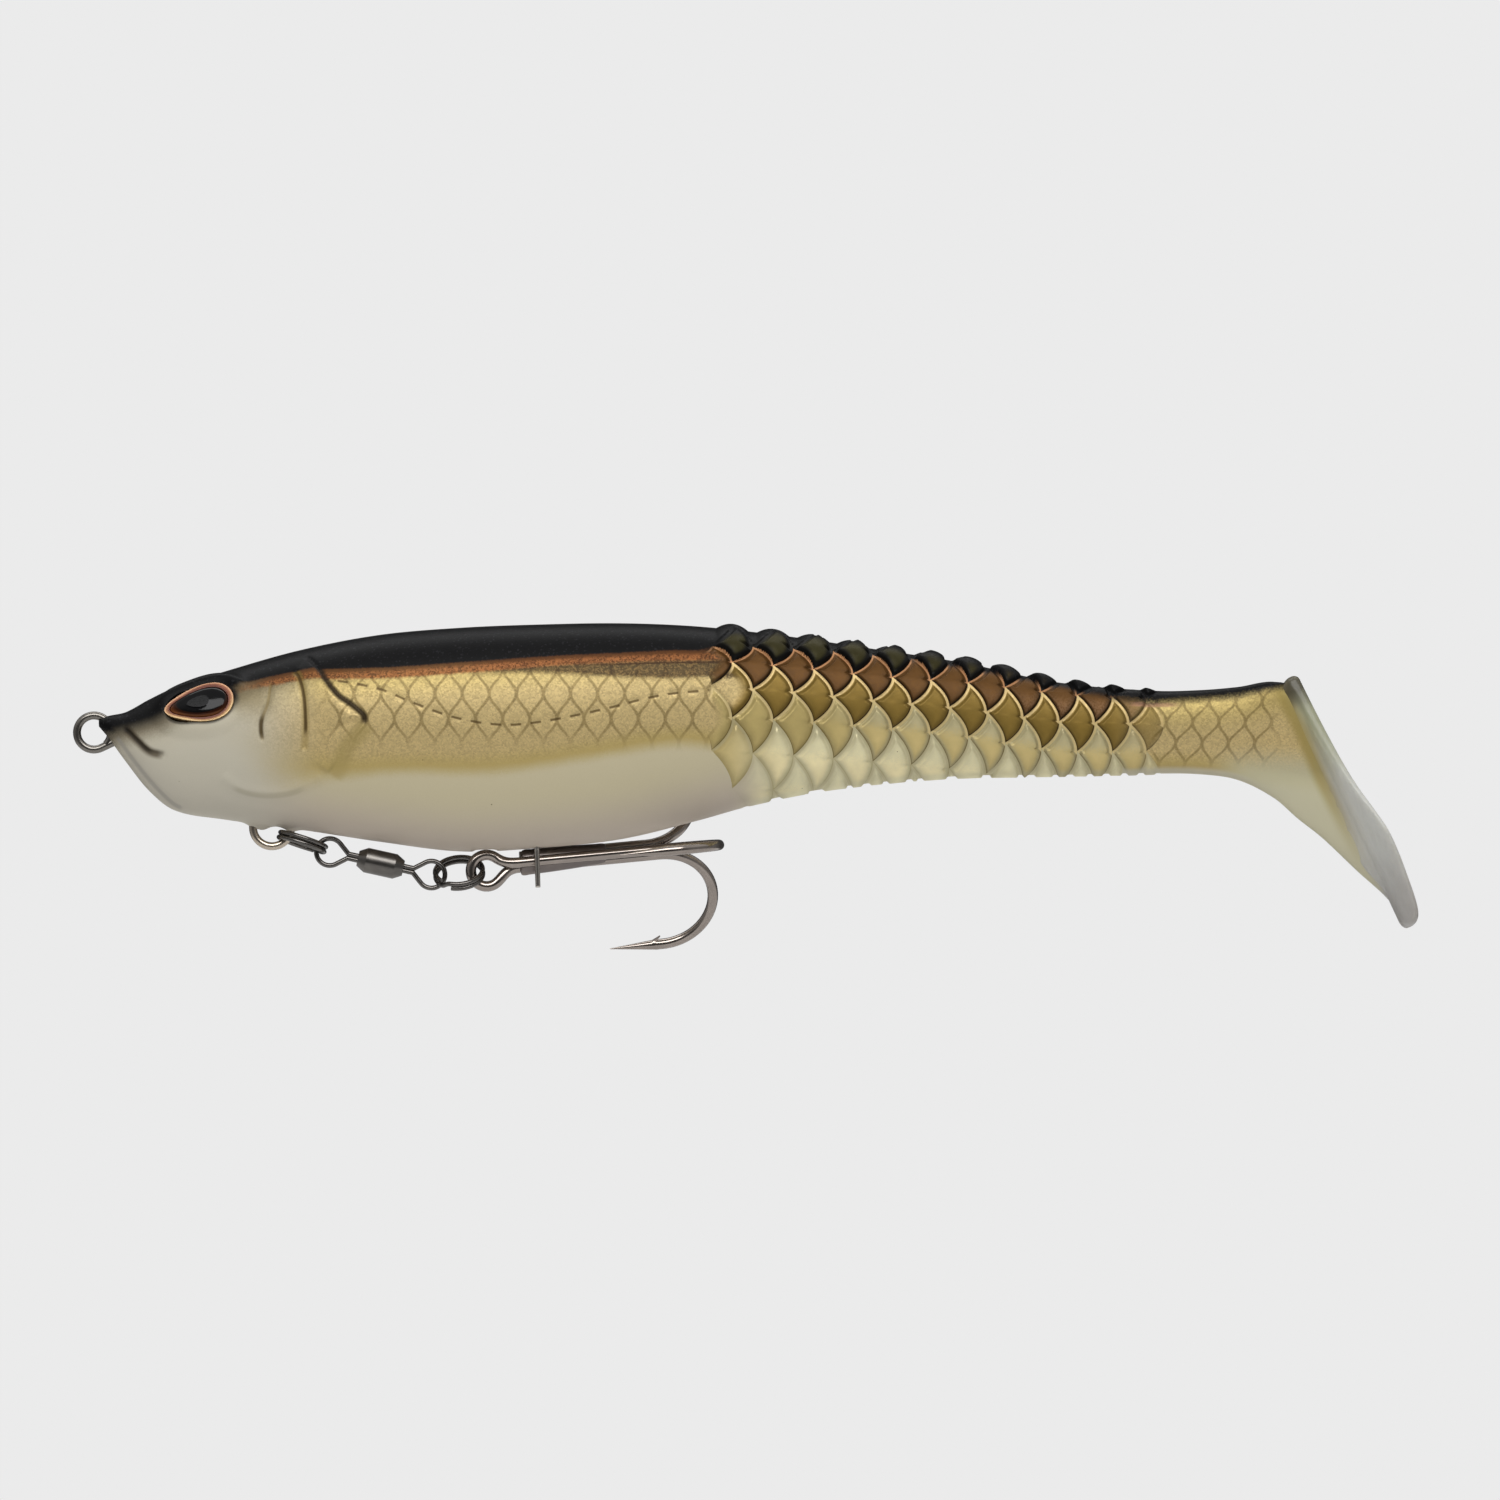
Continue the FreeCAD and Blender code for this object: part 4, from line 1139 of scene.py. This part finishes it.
def black_share(p, skin, head):
    """How black the paint is: the back, and on the head the eye's surround, the tip of the nose, and a
    painted shadow in a thin ring round the eye's rim.
    """
    x, z, drift, eye_off = skin.x, skin.z, skin.drift, skin.eye_off
    rough_edge = p.smooth(x, 150.0, 164.0)
    soft = p.smooth(x, 92.0, 100.0) * 0.35 + p.smooth(x, 26.0, 16.0) * 1.2 + 0.2 + rough_edge * 0.35
    black = p.smooth(skin.black_at + rough_edge * 0.35 + drift * (0.55 + rough_edge), -soft, soft)
    if not head:
        return black
    halo = p.smooth(eye_off + drift, 1.3, 0.3) * p.smooth(z + drift, 3.0, 6.0) * 0.94
    nose = p.smooth(x, 6.5, 2.5) * p.smooth(z + drift, -1.0, 0.6)
    # The last share is a painted shadow: a thin dark ring in the skin just round the eye's rim.
    return p.most(black, halo, nose, p.smooth(eye_off, 0.6, 0.1) * 0.75)


def soft_plastic(name, head=False, tail=False):
    """Painted soft plastic: airbrushed bands with metal flake, a net, painted shade along the creases, and
    scales with painted shade and light at their edges.
    """
    p = new_material(name)
    skin = skin_values(p)
    colour = paint_bands(p, skin)
    gold = p.smooth(skin.gold_at, -1.5, 1.0)
    if head:
        cheek = p.smooth(skin.x + skin.drift * 2.0, 37.0, 22.0)
        colour = paint_cheek(p, skin, colour, cheek)
        gold = gold * (1.0 - cheek * 0.7)
    if head or tail:
        colour = paint_net(p, colour)
    colour = p.brightened(colour, 0.93 + skin.fine * 0.1 + (skin.flake - 0.5) * gold * 0.34)
    if head:
        colour = paint_flank_lines(p, skin, colour)
    colour = paint_scales(p, skin, colour)
    if tail:
        colour = paint_tail(p, skin, colour)
    colour = p.mix(p.specks(skin.place, 0.42, 0.055, 0.72) * 0.85, colour, SPECK)
    black = black_share(p, skin, head)
    flecked = p.mix(p.smooth(skin.flake, 0.9, 1.0) * 0.25, BLACK, BLACK_FLECK)
    return p.finish(
        base_color=p.mix(black, colour, flecked),
        metallic=gold * (1.0 - black) * (0.25 + (skin.flake - 0.5) * 0.2),
        roughness=0.44 + (skin.fine - 0.5) * 0.14 - gold * 0.04,
        normal=p.bump(skin.fine * 0.6 + skin.flake * gold * 0.4, 0.00006, 0.35),
        ior=1.42,
        specular_ior_level=0.14,
    )


def paddle_plastic():
    """Translucent pale plastic: olive where the web joins it, partly painted shade there, greyer and
    clearer to the tip, with a painted highlight streak partway down.
    """
    p = new_material("soft_paddle")
    place = p.attribute("rest")
    behind, down, _ = p.split(p.attribute("tail"))
    across, from_rim, _ = p.split(p.attribute("rim"))
    drift = (p.noise(place, 0.18, 3.0) - 0.5) * 0.2
    colour = paint_paddle_tints(p, down, drift)
    # Painted highlight: a paler streak about 4.5 mm out from the paddle's middle, partway down it.
    middle = p.smooth((across - 4.5).size(), 3.0, 0.5) * p.between(down, 0.3, 0.5, 0.6, 0.85)
    colour = p.mix(middle * 0.6, colour, PADDLE_HIGHLIGHT)
    colour = paint_ridge_olive_shade(p, colour, behind, down)
    colour = p.mix(p.smooth(from_rim + down * 3.0, 1.6, 0.4) * 0.55, colour, PADDLE_RIM)
    colour = p.mix(p.smooth(down + drift * 0.3, 0.13, 0.02) * 0.85, colour, PADDLE_TOP_TINT)
    streak = p.noise(p.scaled(place, 1.2, 1.2, 0.18), 1.0, 3.0)
    colour = p.brightened(colour, 0.92 + streak * 0.16)
    rough = 0.34 + p.noise(place, 2.0, 2.0) * 0.16
    return p.finish(
        base_color=colour,
        roughness=rough,
        normal=p.bump(p.noise(place, 1.1, 3.0), 0.0002, 0.3),
        ior=1.42,
        coat_weight=0.15,
        coat_roughness=0.2,
        subsurface_weight=0.25,
        subsurface_radius=(0.0016, 0.0014, 0.0011),
        subsurface_scale=1.0,
    )


def metal(name, base, worn, roughness, streaks=(1.0, 1.0, 1.0)):
    """Plated wire: drawn streaks, small pits, and lighter worn patches."""
    p = new_material(name)
    place = p.node("ShaderNodeTexCoord", {}).outputs["Object"]
    drawn = p.noise(p.scaled(place, *streaks), 900.0, 4.0)
    patch = p.noise(place, 260.0, 3.0)
    wear = p.smooth(patch + drawn * 0.4, 0.66, 1.05)
    colour = p.mix(wear * 0.6, base, worn)
    rough = roughness + (drawn - 0.5) * 0.12 + wear * 0.05
    return p.finish(
        base_color=colour,
        metallic=1.0,
        roughness=rough,
        normal=p.bump(drawn, 0.00003, 0.06),
    )


def harness_steel():
    """Stainless wire: darker at the line tie, warm and bright at the belly hanger."""
    p = new_material("harness_steel")
    place = p.node("ShaderNodeTexCoord", {}).outputs["Object"]
    x, _, _ = p.split(place)
    drawn = p.noise(place, 900.0, 4.0)
    along = p.smooth(x, 0.004, 0.02)
    colour = p.mix(along, rgb(122, 118, 112), rgb(184, 172, 156))
    colour = p.mix(p.smooth(p.noise(place, 300.0, 3.0), 0.55, 0.8) * 0.4, colour, rgb(96, 92, 84))
    return p.finish(
        base_color=colour,
        metallic=1.0,
        roughness=0.26 + (drawn - 0.5) * 0.12,
        normal=p.bump(drawn, 0.00003, 0.06),
    )


def eye_nodes(p):
    """(along, across) of the eye in half lengths, and how far out towards its edge a place is."""
    place = p.node("ShaderNodeTexCoord", {}).outputs["Object"]
    x, y, z = p.split(place)
    axes = turned(np.eye(3), EYE_TURNS)
    centre = EYE_CENTRE * MM
    side = -(y.size())

    def component(axis, size):
        total = (x - float(centre[0])) * float(axis[0])
        total = total + (side - float(centre[1])) * float(axis[1])
        total = total + (z - float(centre[2])) * float(axis[2])
        return total / (size / 2 * MM)

    along = component(axes[0], EYE_LENGTH)
    across = component(axes[1], EYE_HEIGHT)
    turn = along / p.math("SQRT", along * along + across * across + 1e-9)
    wide = across / ((turn * 0.20 + 0.80) * (turn * 0.12 + 1.0))
    return place, along, across, p.math("SQRT", along * along + wide * wide)


def eye_rim_metal():
    """Copper foil, dark inside, with a thin golden outer edge that is partly the foil's gold and partly a
    painted highlight.
    """
    p = new_material("eye_rim")
    place, _, across, out = eye_nodes(p)
    patch = p.noise(place, 420.0, 3.0)
    low = p.smooth(across + (patch - 0.5) * 0.5, 0.3, -0.5)
    foil = p.mix(low, rgb(118, 66, 38), rgb(142, 104, 62))
    # The lighter golden tint along the outer edge is partly a painted highlight.
    edge = p.mix(low, rgb(172, 128, 96), rgb(186, 156, 110))
    colour = p.mix(p.smooth(out, 0.86, 0.93), rgb(84, 36, 18), foil)
    colour = p.mix(p.smooth(out, 0.93, 0.98), colour, edge)
    return p.finish(
        base_color=colour,
        metallic=0.6,
        roughness=0.3 + patch * 0.16,
        normal=p.bump(patch, 0.00005, 0.3),
        coat_weight=0.3,
        coat_roughness=0.1,
    )


def eye_lens_gloss():
    """A clear dome over a black almond pupil and a copper iris."""
    p = new_material("eye_lens")
    place, along, across, _ = eye_nodes(p)
    narrow = 0.78 + along * 0.22
    lift = (across - 0.07) / narrow
    far = p.math("SQRT", (along - 0.08) * (along - 0.08) + lift * lift)
    fibre = p.noise(place, 2600.0, 3.0)
    iris = p.mix(p.smooth(across + fibre * 0.4, -0.4, 0.9), rgb(134, 78, 36), rgb(92, 40, 18))
    iris = p.mix(p.smooth(far, 0.96, 0.74), iris, rgb(46, 22, 12))
    colour = p.mix(p.smooth(far, 0.74, 0.68), iris, rgb(8, 8, 9))
    return p.finish(
        base_color=colour,
        metallic=p.smooth(far, 0.70, 0.76) * 0.4,
        roughness=0.07 + fibre * 0.04,
        ior=1.45,
        specular_ior_level=0.22,
    )


def cad_materials():
    nickel = (rgb(98, 95, 92), rgb(122, 118, 112))
    return {
        "harness_steel": harness_steel(),
        "lead": metal("lead", rgb(120, 122, 126), rgb(160, 162, 166), 0.55),
        "eye_rim": eye_rim_metal(),
        "eye_lens": eye_lens_gloss(),
        "black_nickel_ring": metal("black_nickel_ring", *nickel, 0.24),
        "black_nickel_barrel": metal("black_nickel_barrel", *nickel, 0.3, (0.15, 1.0, 1.0)),
        "black_nickel_wire": metal("black_nickel_wire", *nickel, 0.22),
        "braze": metal("braze", rgb(112, 105, 102), rgb(138, 128, 118), 0.32),
        "hook_steel": metal("hook_steel", rgb(148, 139, 132), rgb(170, 160, 152), 0.16),
        "pin_steel": metal("pin_steel", rgb(186, 180, 172), rgb(206, 200, 192), 0.22),
    }


NODE_SLOTS = {
    "harness_wire": "harness_steel",
    "keel_weight": "lead",
    "eye_left_rim": "eye_rim",
    "eye_right_rim": "eye_rim",
    "eye_left_lens": "eye_lens",
    "eye_right_lens": "eye_lens",
    "split_ring_front": "black_nickel_ring",
    "split_ring_rear": "black_nickel_ring",
    "swivel_barrel": "black_nickel_barrel",
    "swivel_front_eye": "black_nickel_wire",
    "swivel_rear_eye": "black_nickel_wire",
    "treble_double_hook": "hook_steel",
    "treble_single_hook": "hook_steel",
}


def dress_cad_nodes(materials):
    for node, slot in NODE_SLOTS.items():
        slots = frame["nodes"][node].data.materials
        slots.clear()
        slots.append(materials[slot])


# --- studio ----------------------------------------------------------------------------------------------

PALE_GREY = rgb(235, 235, 235)
VIEW_WIDTH = 233.4  # of the picture, at the lure
VIEW_CENTRE = (102.07, -2.72)  # (x, z)
CAMERA_AWAY = 1500.0
FLOOR_Z = -152.0
FLOOR_RADIUS = 370.0
ROOM_ABOVE = 0.55  # how bright the room is in each direction
ROOM_BELOW = 0.24
ROOM_SIDES = 0.26
ROOM_DARKEST = 0.07
LIGHTS_AIM = (100.0, 0.0, 0.0)
SOFTBOXES = [  # (name, place, width, height, watts)
    ("key", (80.0, -790.0, 620.0), 1000.0, 420.0, 7.2),
    ("rear_rim", (100.0, 260.0, 760.0), 1000.0, 300.0, 2.4),
    ("low_fill", (140.0, -700.0, -420.0), 900.0, 240.0, 1.0),
]


def camera():
    data = bpy.data.cameras.new("camera")
    data.sensor_width = 36.0
    data.lens = data.sensor_width * CAMERA_AWAY / VIEW_WIDTH
    data.clip_end = 50.0
    made = bpy.data.objects.new("camera", data)
    made.location = Vector((VIEW_CENTRE[0], -CAMERA_AWAY, VIEW_CENTRE[1])) * MM
    made.rotation_euler = (math.pi / 2, 0, 0)
    bpy.context.scene.collection.objects.link(made)
    bpy.context.scene.camera = made


def world():
    """A flat pale backdrop, and the room that lights the lure: pale above and beside it, dark in front."""
    made = bpy.data.worlds.new("room")
    p = Paint(made)
    p.tree.nodes.clear()
    seen = p.node("ShaderNodeBackground", {"Color": PALE_GREY})
    x, y, z = p.split(p.node("ShaderNodeTexCoord", {}).outputs["Generated"])
    above = p.smooth(z, 0.15, 0.7) * ROOM_ABOVE
    below = p.smooth(z, -0.15, -0.7) * ROOM_BELOW
    sides = p.smooth(x.size(), 0.35, 0.9) * ROOM_SIDES
    level = (above + below + sides) * p.smooth(y, 0.9, 0.2) + ROOM_DARKEST
    grey = p.node("ShaderNodeCombineColor", {0: level, 1: level, 2: level}).outputs[0]
    lit = p.node("ShaderNodeBackground", {"Color": grey})
    rays = p.node("ShaderNodeLightPath", {})
    share = rays.outputs["Is Camera Ray"]
    pick = p.node("ShaderNodeMixShader", {0: share, 1: lit.outputs[0], 2: seen.outputs[0]})
    p.node("ShaderNodeOutputWorld", {"Surface": pick.outputs[0]})
    bpy.context.scene.world = made


def softbox(name, place, width, height, watts):
    data = bpy.data.lights.new(name, "AREA")
    data.shape = "RECTANGLE"
    data.size = width * MM
    data.size_y = height * MM
    data.energy = watts
    made = bpy.data.objects.new(name, data)
    made.location = Vector(place) * MM
    toward = Vector(LIGHTS_AIM) * MM - made.location
    made.rotation_euler = toward.to_track_quat("-Z", "Y").to_euler()
    bpy.context.scene.collection.objects.link(made)


def floor():
    """A pale round floor well below the lure, that fades into the backdrop at its edge."""
    rings, count = 12, 96
    radius = np.linspace(0, FLOOR_RADIUS, rings + 1)[1:, None]
    a = 2 * np.pi * np.arange(count)[None, :] / count
    x, y = VIEW_CENTRE[0] + radius * np.cos(a), radius * np.sin(a)
    vertices = np.stack([x, y, np.full(x.shape, FLOOR_Z)], axis=-1).reshape(-1, 3)
    middle = [[VIEW_CENTRE[0], 0.0, FLOOR_Z]]
    faces = [(rings * count, j, (j + 1) % count) for j in range(count)]
    for i in range(rings - 1):
        for j in range(count):
            k = (j + 1) % count
            faces.append((i * count + j, (i + 1) * count + j, (i + 1) * count + k, i * count + k))
    piece = new_piece("floor", np.concatenate([vertices, middle]), faces)
    p = new_material("floor_pale")
    place = p.node("ShaderNodeTexCoord", {}).outputs["Object"]
    x, y, _ = p.split(place)
    off = x - VIEW_CENTRE[0] * MM
    far = p.math("SQRT", off * off + y * y)
    glow = p.node("ShaderNodeEmission", {"Color": PALE_GREY}).outputs[0]
    p.finish(base_color=rgb(228, 228, 228), roughness=0.9)
    share = p.smooth(far + (p.noise(place, 8.0, 2.0) - 0.5) * 0.02, 0.10, FLOOR_RADIUS * MM * 0.96)
    mixed = p.node("ShaderNodeMixShader", {0: share, 1: p.shader.outputs[0], 2: glow}).outputs[0]
    p.tree.links.new(mixed, p.tree.nodes["Material Output"].inputs["Surface"])
    piece.data.materials.append(p.owner)


def studio():
    camera()
    world()
    floor()
    for box in SOFTBOXES:
        softbox(*box)
    bpy.context.scene.view_settings.view_transform = "Standard"


# --- making it -------------------------------------------------------------------------------------------

studio()
soft = {
    "soft_front": soft_plastic("soft_front", head=True),
    "soft_scaled": soft_plastic("soft_scaled"),
    "soft_tail": soft_plastic("soft_tail", tail=True),
}
body_skins(soft)
paddle_plate(paddle_plastic())
metals = cad_materials()
hook_braze(metals["braze"])
pin_wire(metals["pin_steel"])
dress_cad_nodes(metals)
